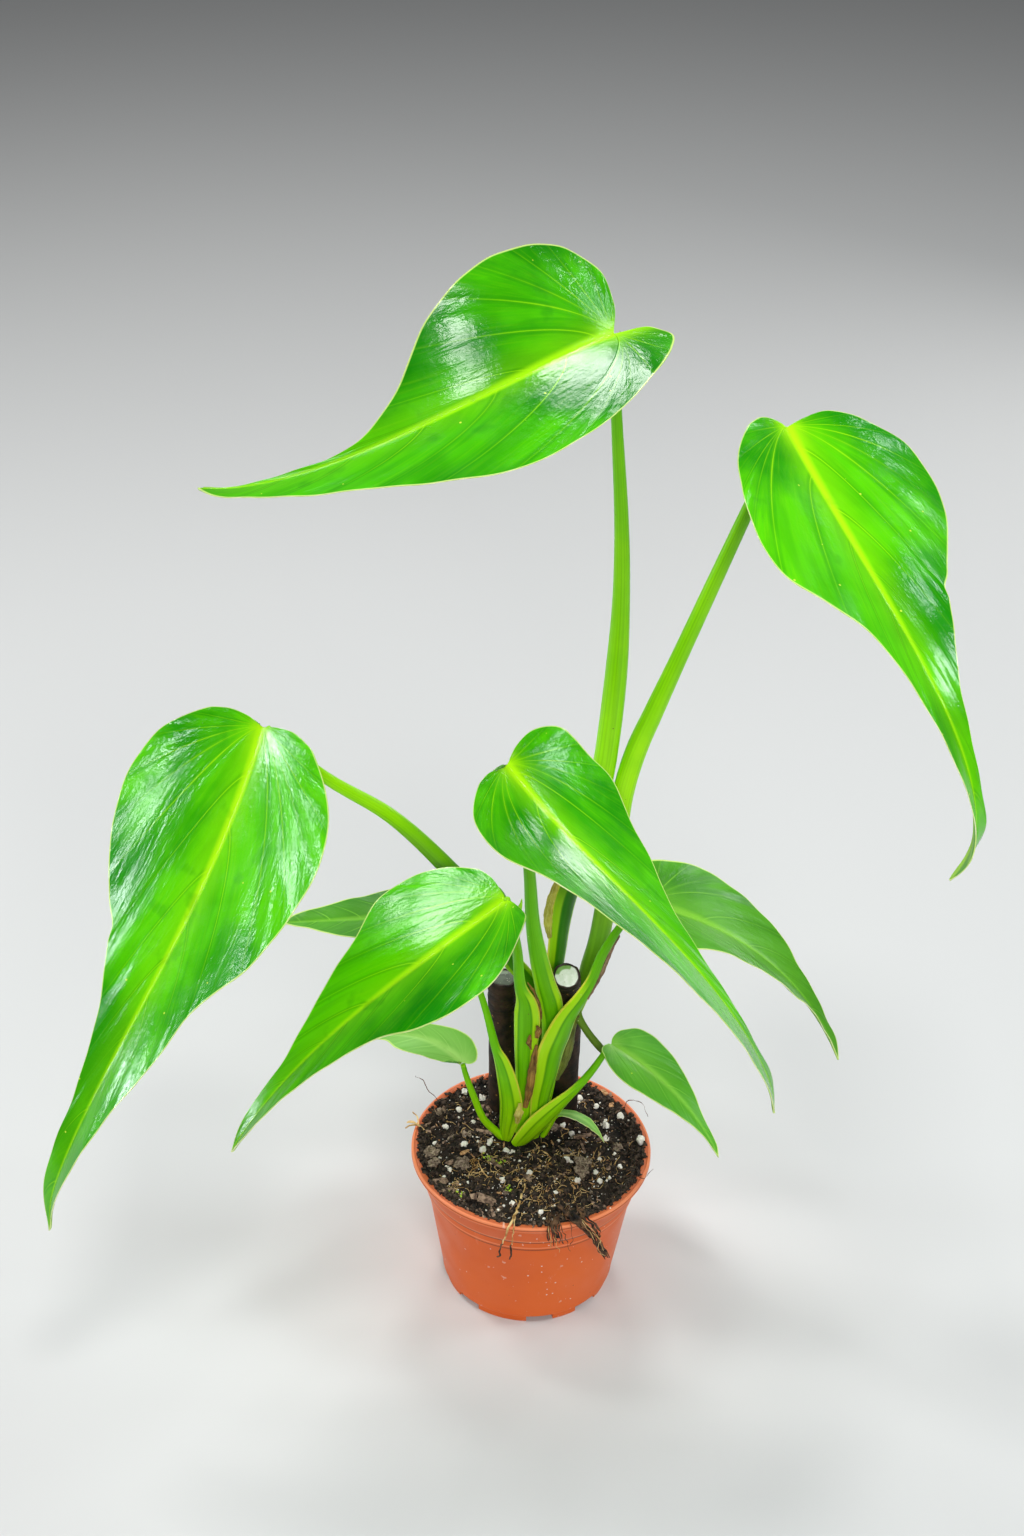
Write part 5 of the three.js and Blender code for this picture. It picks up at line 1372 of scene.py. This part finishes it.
lumps = [base_grain("lump", crumple) for crumple in (0.2, 0.3, 0.42)]
crumbs = [base_grain("crumb", crumple) for crumple in (0.3, 0.5)]
clod_bases = [base_grain("clod", crumple, (1, 0.9, 0.6)) for crumple in (0.4, 0.6)]
flakes = [base_grain("chip", crumple, (1.5, 0.8, 0.28)) for crumple in (0.15, 0.3, 0.45)]
splinters = [base_grain("chip", crumple, (2.4, 0.5, 0.3)) for crumple in (0.2, 0.4)]

PERLITE_SEEN = [
    (-34.8, 41, 3.4), (-25.4, 36.8, 3.6), (-18.8, 38.1, 2.8), (-37, 28.4, 3.2), (-43.4, 15.2, 3),
    (24.7, 41.5, 3.6), (33.1, 34.6, 3.2), (45.3, 25.4, 4), (50.3, 27.5, 3), (37.9, 19.6, 3.8),
    (20.6, 12.4, 3.2), (15.9, 18.7, 3), (55.0, 5.7, 4.6), (37.5, 9.4, 3.4), (-24.1, -2.1, 3.8),
    (-33.4, 2.9, 3), (-20.6, 3.8, 3), (-12.5, -1.9, 3.4), (-9.3, -2.4, 2.6), (17.8, -7.5, 3.4),
    (32.1, -15.8, 3), (34.3, -21.8, 3), (23.4, -23, 3.6), (-14.1, -24.2, 3), (-8.7, -40.2, 2.6),
    (-0.7, -18.1, 3.2), (5.2, -47, 2.8), (-15.9, 11.3, 3), (9.2, 39.5, 3), (-48.2, 3.5, 2.4),
    (44.6, -9.2, 2.6), (12.4, -31.5, 2.2), (-29.5, 20.4, 2.4), (-40.3, -16.8, 2.4),
]
scatter("perlite_grains", lumps, [(x, y, size, 0.22) for x, y, size in PERLITE_SEEN], PERLITE, angular=True)
scatter("perlite_small", lumps + crumbs, anywhere(130, 0.9, 2.3, 0.2), PERLITE, angular=True)
scatter("pale_dust", crumbs, anywhere(520, 0.35, 0.8, 0.1), PERLITE)
scatter("tan_dust", crumbs + splinters, anywhere(420, 0.35, 1.1, 0.1), TAN)
scatter("peat_crumbs", lumps[:1] + crumbs, anywhere(1500, 0.8, 3.4, 0.3) + by_the_wall(900, 1, 2.8), PEAT)
scatter("chips_by_wall", flakes, by_the_wall(60, 1.5, 3.4), BARK)
bark_places = [
    (-22.4, -38.4, 8.5, 0.1), (-26, 30, 4, 0.1), (-24, 13, 6, 0.1), (26, 8.5, 6, 0.1), (-45, -27, 6, 0.15),
    (-19, -45, 5, 0.2), (4, -12, 4, 0.2),
]
scatter("bark_chips", flakes + splinters, bark_places + anywhere(120, 1.4, 4.6, 0.15), BARK, flat=True)
clod_places = [
    (26.2, -13.3, 12, 0.4), (-50.3, -5.4, 8, 0.35), (-48.9, -13, 6, 0.3), (-33.9, -13.3, 7, 0.35),
    (-46.4, 25.4, 4.5, 0.3), (11, 14.9, 5, 0.3), (43.8, 4.9, 5, 0.3),
]
scatter("peat_clods", clod_bases, clod_places + anywhere(26, 2, 4.5, 0.4), CLOD)
chip_places = [(-29, -6, 2, 0.1), (36.7, 44.5, 2, 0.1)]
scatter("tan_chips", splinters, chip_places + anywhere(60, 0.9, 2.4, 0.1), TAN, flat=True)
orange_places = [(-33, -3.3, 4.2, 0.0), (41, 34, 3.6, 0), (37.5, 42, 3.8, 0)]
scatter("orange_chip", flakes[:1], orange_places, TAN, flat=True)
moss_places = []
for x, y, count in ((-21.1, -6.6, 12), (-15.1, -11.3, 9), (-10.9, -30.1, 8), (-34.1, -34, 5), (-42, -33, 5)):
    tuft = anywhere(count, 1, 1, 0, (x, y, 1.0))
    moss_places += [(mx, my, dice.uniform(0.7, 1.5), -0.1) for mx, my, *_ in tuft]
scatter("moss_tufts", crumbs, moss_places, MOSS)

# %% [markdown]
# ## Roots and fibres
# Fine tan fibres run through the peat, and a few thin roots have grown over the rim and hang down
# outside. The longest end in black tips. Soil still clings to a tangle of them at the right.

# %% Fibres and roots
def root_finish(name, dark, light, roughness=0.7):
    root = Finish(name, Specular_IOR_Level=0.3)
    root.colour = root.mix(root.clouds(260.0, 0.35, 0.65, detail=4.0), dark, light)
    root.bump(root.noise(1500.0), 0.12, 0.8)
    return root.finish(roughness)


ROOT_TAN = root_finish("root_tan", (0.42, 0.22, 0.06), (0.88, 0.62, 0.28))
ROOT_DARK = root_finish("root_dark", (0.01, 0.006, 0.005), (0.16, 0.08, 0.038))
ROOT_RED = root_finish("root_red", (0.07, 0.022, 0.012), (0.2, 0.08, 0.04))


def roots(name, routes, material, rough=0.0):
    """Thin roots from routes of x, y, z and thickness, joined to one piece."""
    strands = []
    for i, route in enumerate(routes):
        rows = [[x, y, z, d, d, 0] for x, y, z, d in route]
        way = (0.3, 0.2, 1)
        strand = rod(f"{name}_{i}", rows, way, half_sides=2, per_span=5, end_caps=((0, 0.1),), rough=rough)
        strands.append(strand)
    choose(*strands)
    bpy.ops.object.join()
    piece = bpy.context.object
    piece.name = piece.data.name = name
    settle(piece, "potting_soil", [material])


def fibre(x, y, length, thick, lift=0.3):
    """A thin wandering route over the soil."""
    heading, route = dice.uniform(0, 2 * math.pi), []
    for k in range(5):
        if math.hypot(x, y) < 54:
            height = on_soil(x, y) + lift + dice.uniform(0, 0.7) * (k % 2)
            route.append((x, y, height, thick * (1 - 0.12 * k)))
        heading += dice.gauss(0, 0.6)
        x, y = x + length / 4 * math.cos(heading), y + length / 4 * math.sin(heading)
    return route


def fibres(count, shortest, longest, thick, patch=None):
    starts = anywhere(count, 1, 1, 0, patch)
    made = [fibre(x, y, dice.uniform(shortest, longest), thick * dice.uniform(0.6, 1)) for x, y, *_ in starts]
    return [route for route in made if len(route) > 2]


def over_soil(places, thick):
    return [(x, y, on_soil(x, y) + 0.5, thick) for x, y in places]


thick_spots = [
    (30, (22, -26, 9)), (36, (-24, -15, 5)), (36, (10, -7, 5)), (16, (-42, -28, 4)), (20, (34, -8, 6)),
    (24, (-8, -16, 6)), (28, (6, -32, 7)),
]
tan_fibres = fibres(110, 4, 13, 0.42)
for count, patch in thick_spots:
    tan_fibres += fibres(count, 4, 10, 0.42, patch)
roots("fibres_tan", tan_fibres, ROOT_TAN, rough=0.5)
roots("fibres_dark", fibres(50, 5, 14, 0.45) + fibres(30, 5, 10, 0.55, (18, -40, 8)), ROOT_DARK, rough=0.5)

# %% Roots over the rim
seen_roots = [
    over_soil([(-1.9, -20.5), (-3.1, -29.2), (-5, -38.8)], 0.9)
    + [(-6.6, -47, 79.6, 0.9), (-9, -56, 81.4, 0.8), (-11, -61.2, 79.8, 0.8), (-12.8, -61.6, 72, 0.8)],
    [(-6.6, -47, 79.6, 0.7), (-7.2, -54, 81.6, 0.7), (-8, -61, 80.5, 0.7), (-8.6, -61.6, 71, 0.7)],
    over_soil([(-4.1, -45.9), (-4.5, -49.5), (-3.6, -53)], 0.5),
    over_soil([(3.8, 0.7), (6.4, -2.3), (8.9, -4.1)], 0.8),
    over_soil([(-26.4, -10.5), (-22.9, -17.8), (-18.5, -26.2)], 0.6),
    over_soil([(35.3, 4.5), (34.8, 0.7), (33.5, -3.1)], 0.6),
    over_soil([(-49, 8), (-53.5, 9.7)], 1.0)
    + [(-57.5, 12, 81.6, 1.3), (-61, 14, 81.4, 1.2), (-63.2, 15.4, 79.6, 0.7)],
    [(-57, 12, 81.4, 1.1), (-60, 10.5, 81.8, 1.1), (-63.4, 9.5, 80.6, 0.6)],
    [(-56.5, 11.5, 81.4, 0.8), (-58, 16.5, 82.4, 0.8), (-60.5, 21, 81.8, 0.5)],
    over_soil([(-2, -22), (1, -27), (2, -33), (-1, -40)], 0.5),
    over_soil([(-1.9, -20.5), (-6, -26), (-8, -33), (-7, -40)], 0.45),
    [(24, -50, 80.5, 0.3), (29, -58.4, 81, 0.3), (33, -57.6, 74, 0.3), (36, -54.6, 63, 0.25)],
    [(30, -58.6, 78, 0.3), (34.4, -57.4, 71, 0.3), (33.4, -57, 66, 0.3), (37, -53.4, 58, 0.25)],
    [(22, -48, 80, 0.3), (27, -58.8, 81.6, 0.3), (30, -59, 76, 0.3), (31.6, -57.6, 70, 0.25)],
    [(10, -50, 79.5, 0.3), (12, -61.2, 80.6, 0.3), (13, -62.2, 73, 0.3), (15, -61.4, 67, 0.25)],
    [(8, -50, 79.5, 0.3), (9, -60.8, 81, 0.3), (10.4, -62, 75, 0.3), (9.6, -61.4, 70, 0.25)],
]
roots("roots_tan", seen_roots, ROOT_TAN, rough=0.9)
hanging = []
for k in range(13):
    spread, end = dice.uniform(-1, 1), dice.choice([(38.4, -51.2, 55), (36.5, -52.5, 59), (33.5, -54.5, 66)])
    start = (19 + 5 * spread + dice.uniform(-2, 2), -44 + dice.uniform(-3, 3), 79.5)
    over = (24 + 4 * spread, -54.6, 81.4 + dice.uniform(-0.4, 0.6))
    rim = (27.5 + 3 * spread, -55.5 + 1.6 * spread - 1.5, 79.6 + dice.uniform(-0.6, 0.6))
    low = (31 + 1.8 * spread, -56.6 + spread, 73 + dice.uniform(-2, 2))
    last = [end[i] + dice.uniform(-1.2, 1.2) for i in range(3)]
    hanging.append([(*p, d) for p, d in zip((start, over, rim, low, last), (0.8, 0.9, 0.8, 0.7, 0.35))])
for k in range(6):
    x = 9 + 1.2 * k
    last = (x + dice.uniform(-2, 2), -60.8, 75 - dice.uniform(0, 5), 0.5)
    hanging.append([(x, -47, 79, 0.7), (x - 1, -55, 81.2, 0.9), (x - 0.5, -60.6, 79.8, 0.8), last])
hanging += [
    [(-12.6, -61.6, 73, 0.6), (-13.2, -61, 69, 0.9), (-14.2, -60.6, 65, 0.8), (-14.8, -60.4, 61.5, 1.1)],
    [(-8.5, -61.6, 72, 0.5), (-8.9, -61, 68, 0.8), (-8.8, -60.8, 64, 0.8), (-9.8, -60.6, 60.5, 0.9)],
    [
        (20, -44, 79, 1), (23, -54, 81.4, 1.1), (27, -59.4, 80, 1.2), (31, -56.5, 72.5, 1.1),
        (34.5, -54, 65, 0.9), (38.6, -51, 54.5, 0.6),
    ],
    [
        (23, -41, 79, 0.8), (28, -52, 81.5, 0.9), (33, -56.6, 79, 0.8), (34, -55.4, 73, 0.7),
        (33, -55.2, 68, 0.5),
    ],
    [(14, -48, 78.5, 1.4), (12, -54, 80.8, 1.8), (11.5, -60.4, 80.6, 1.6), (13.5, -61.2, 76, 1)],
]
roots("roots_dark", hanging, ROOT_DARK, rough=1.3)
reddish = [
    [
        (13, -46, 78.6, 0.4), (14.5, -56, 81.6, 0.4), (16.5, -60.8, 79, 0.4), (18, -60.2, 73, 0.35),
        (19.3, -59.4, 67, 0.25),
    ],
    [(16, -46, 78.6, 0.35), (19, -55.5, 81.5, 0.35), (20.6, -59.8, 77, 0.3), (20, -59.6, 71, 0.25)],
    [(-46, 30, 77.5, 0.35), (-51, 34, 82.8, 0.35), (-55.5, 36, 88.9, 0.3), (-59.5, 37, 92.5, 0.25)],
    [(44, 30, 77.5, 0.35), (50, 33, 82.6, 0.35), (56.6, 25, 87.8, 0.3), (58.5, 18, 86, 0.25)],
    [(47, -18, 77.6, 0.35), (52, -21, 80.8, 0.35), (57, -24, 82.4, 0.3), (60, -20, 84.5, 0.25)],
]
roots("roots_red", reddish, ROOT_RED, rough=1.3)

# %% [markdown]
# ## Floor and light
# The floor is plain and pale. Nine soft lights stand round the plant. Seven are placed where a leaf mirrors
# them as a broad white reflection: behind, left, low at the left, behind left, right, behind right and
# overhead. A small one marks the hanging tail of the upper right leaf, and the last, in front, lights the
# pot. A dim grey surrounding fills the shadows and keeps the greens deep, because a glossy leaf mirrors
# that as well.

# %% Floor and light
deselect_all()
bpy.ops.mesh.primitive_plane_add(size=8, location=(0, 0, 0))
floor = bpy.context.object
floor.name = floor.data.name = "studio_floor"
floor_finish = Finish("floor_pale", Specular_IOR_Level=0.2)
floor_finish.colour = (0.66, 0.66, 0.65)
floor.data.materials.append(floor_finish.finish(0.85))

world = bpy.data.worlds.new("studio")
bpy.context.scene.world = world
world.use_nodes = True
surrounding = world.node_tree.nodes["Background"].inputs
surrounding["Color"].default_value = (0.95, 0.97, 1.0, 1)
surrounding["Strength"].default_value = 0.1
bpy.context.scene.view_settings.view_transform = "Standard"


def soft_light(name, target, heading, height, away, size, watts, colour=(1, 1, 1)):
    """An area light seen from its target at a compass heading from +Y to +X and a height in degrees."""
    h, e = math.radians(heading), math.radians(height)
    way = Vector((math.sin(h) * math.cos(e), math.cos(h) * math.cos(e), math.sin(e)))
    light = bpy.data.lights.new(name, "AREA")
    light.shape = "RECTANGLE"
    light.size, light.size_y = size
    light.energy = watts
    light.color = colour
    lamp = bpy.data.objects.new(name, light)
    lamp.location = Vector(target) + way * away
    lamp.rotation_euler = (-way).to_track_quat("-Z", "Y").to_euler()
    bpy.context.scene.collection.objects.link(lamp)


SKY = (0.88, 0.96, 1.0)
soft_light("window", (-0.02, 0.0, 0.5), 0, 44, 1.5, (0.42, 0.42), 8.5)
soft_light("left_side", (-0.15, -0.06, 0.28), -91, 25, 1.4, (0.22, 0.14), 3.2, SKY)
soft_light("left_low", (-0.22, -0.14, 0.2), -71, 5, 1.4, (0.22, 0.14), 3.5, SKY)
soft_light("left_back", (-0.06, -0.1, 0.22), -57, 51, 1.5, (0.36, 0.4), 9)
soft_light("right_side", (0.17, -0.02, 0.36), 86, 39, 1.4, (0.45, 0.26), 8, SKY)
soft_light("right_tail", (0.17, -0.02, 0.36), 54, 46, 1.4, (0.2, 0.12), 1.7, SKY)
soft_light("right_back", (0.0, -0.06, 0.28), 30, 10, 1.4, (0.13, 0.42), 1.5)
soft_light("overhead", (-0.03, 0.0, 0.5), 176, 67, 1.4, (0.3, 0.22), 6)
soft_light("front", (0.0, 0.0, 0.12), 172, 36, 1.5, (0.5, 0.35), 10)
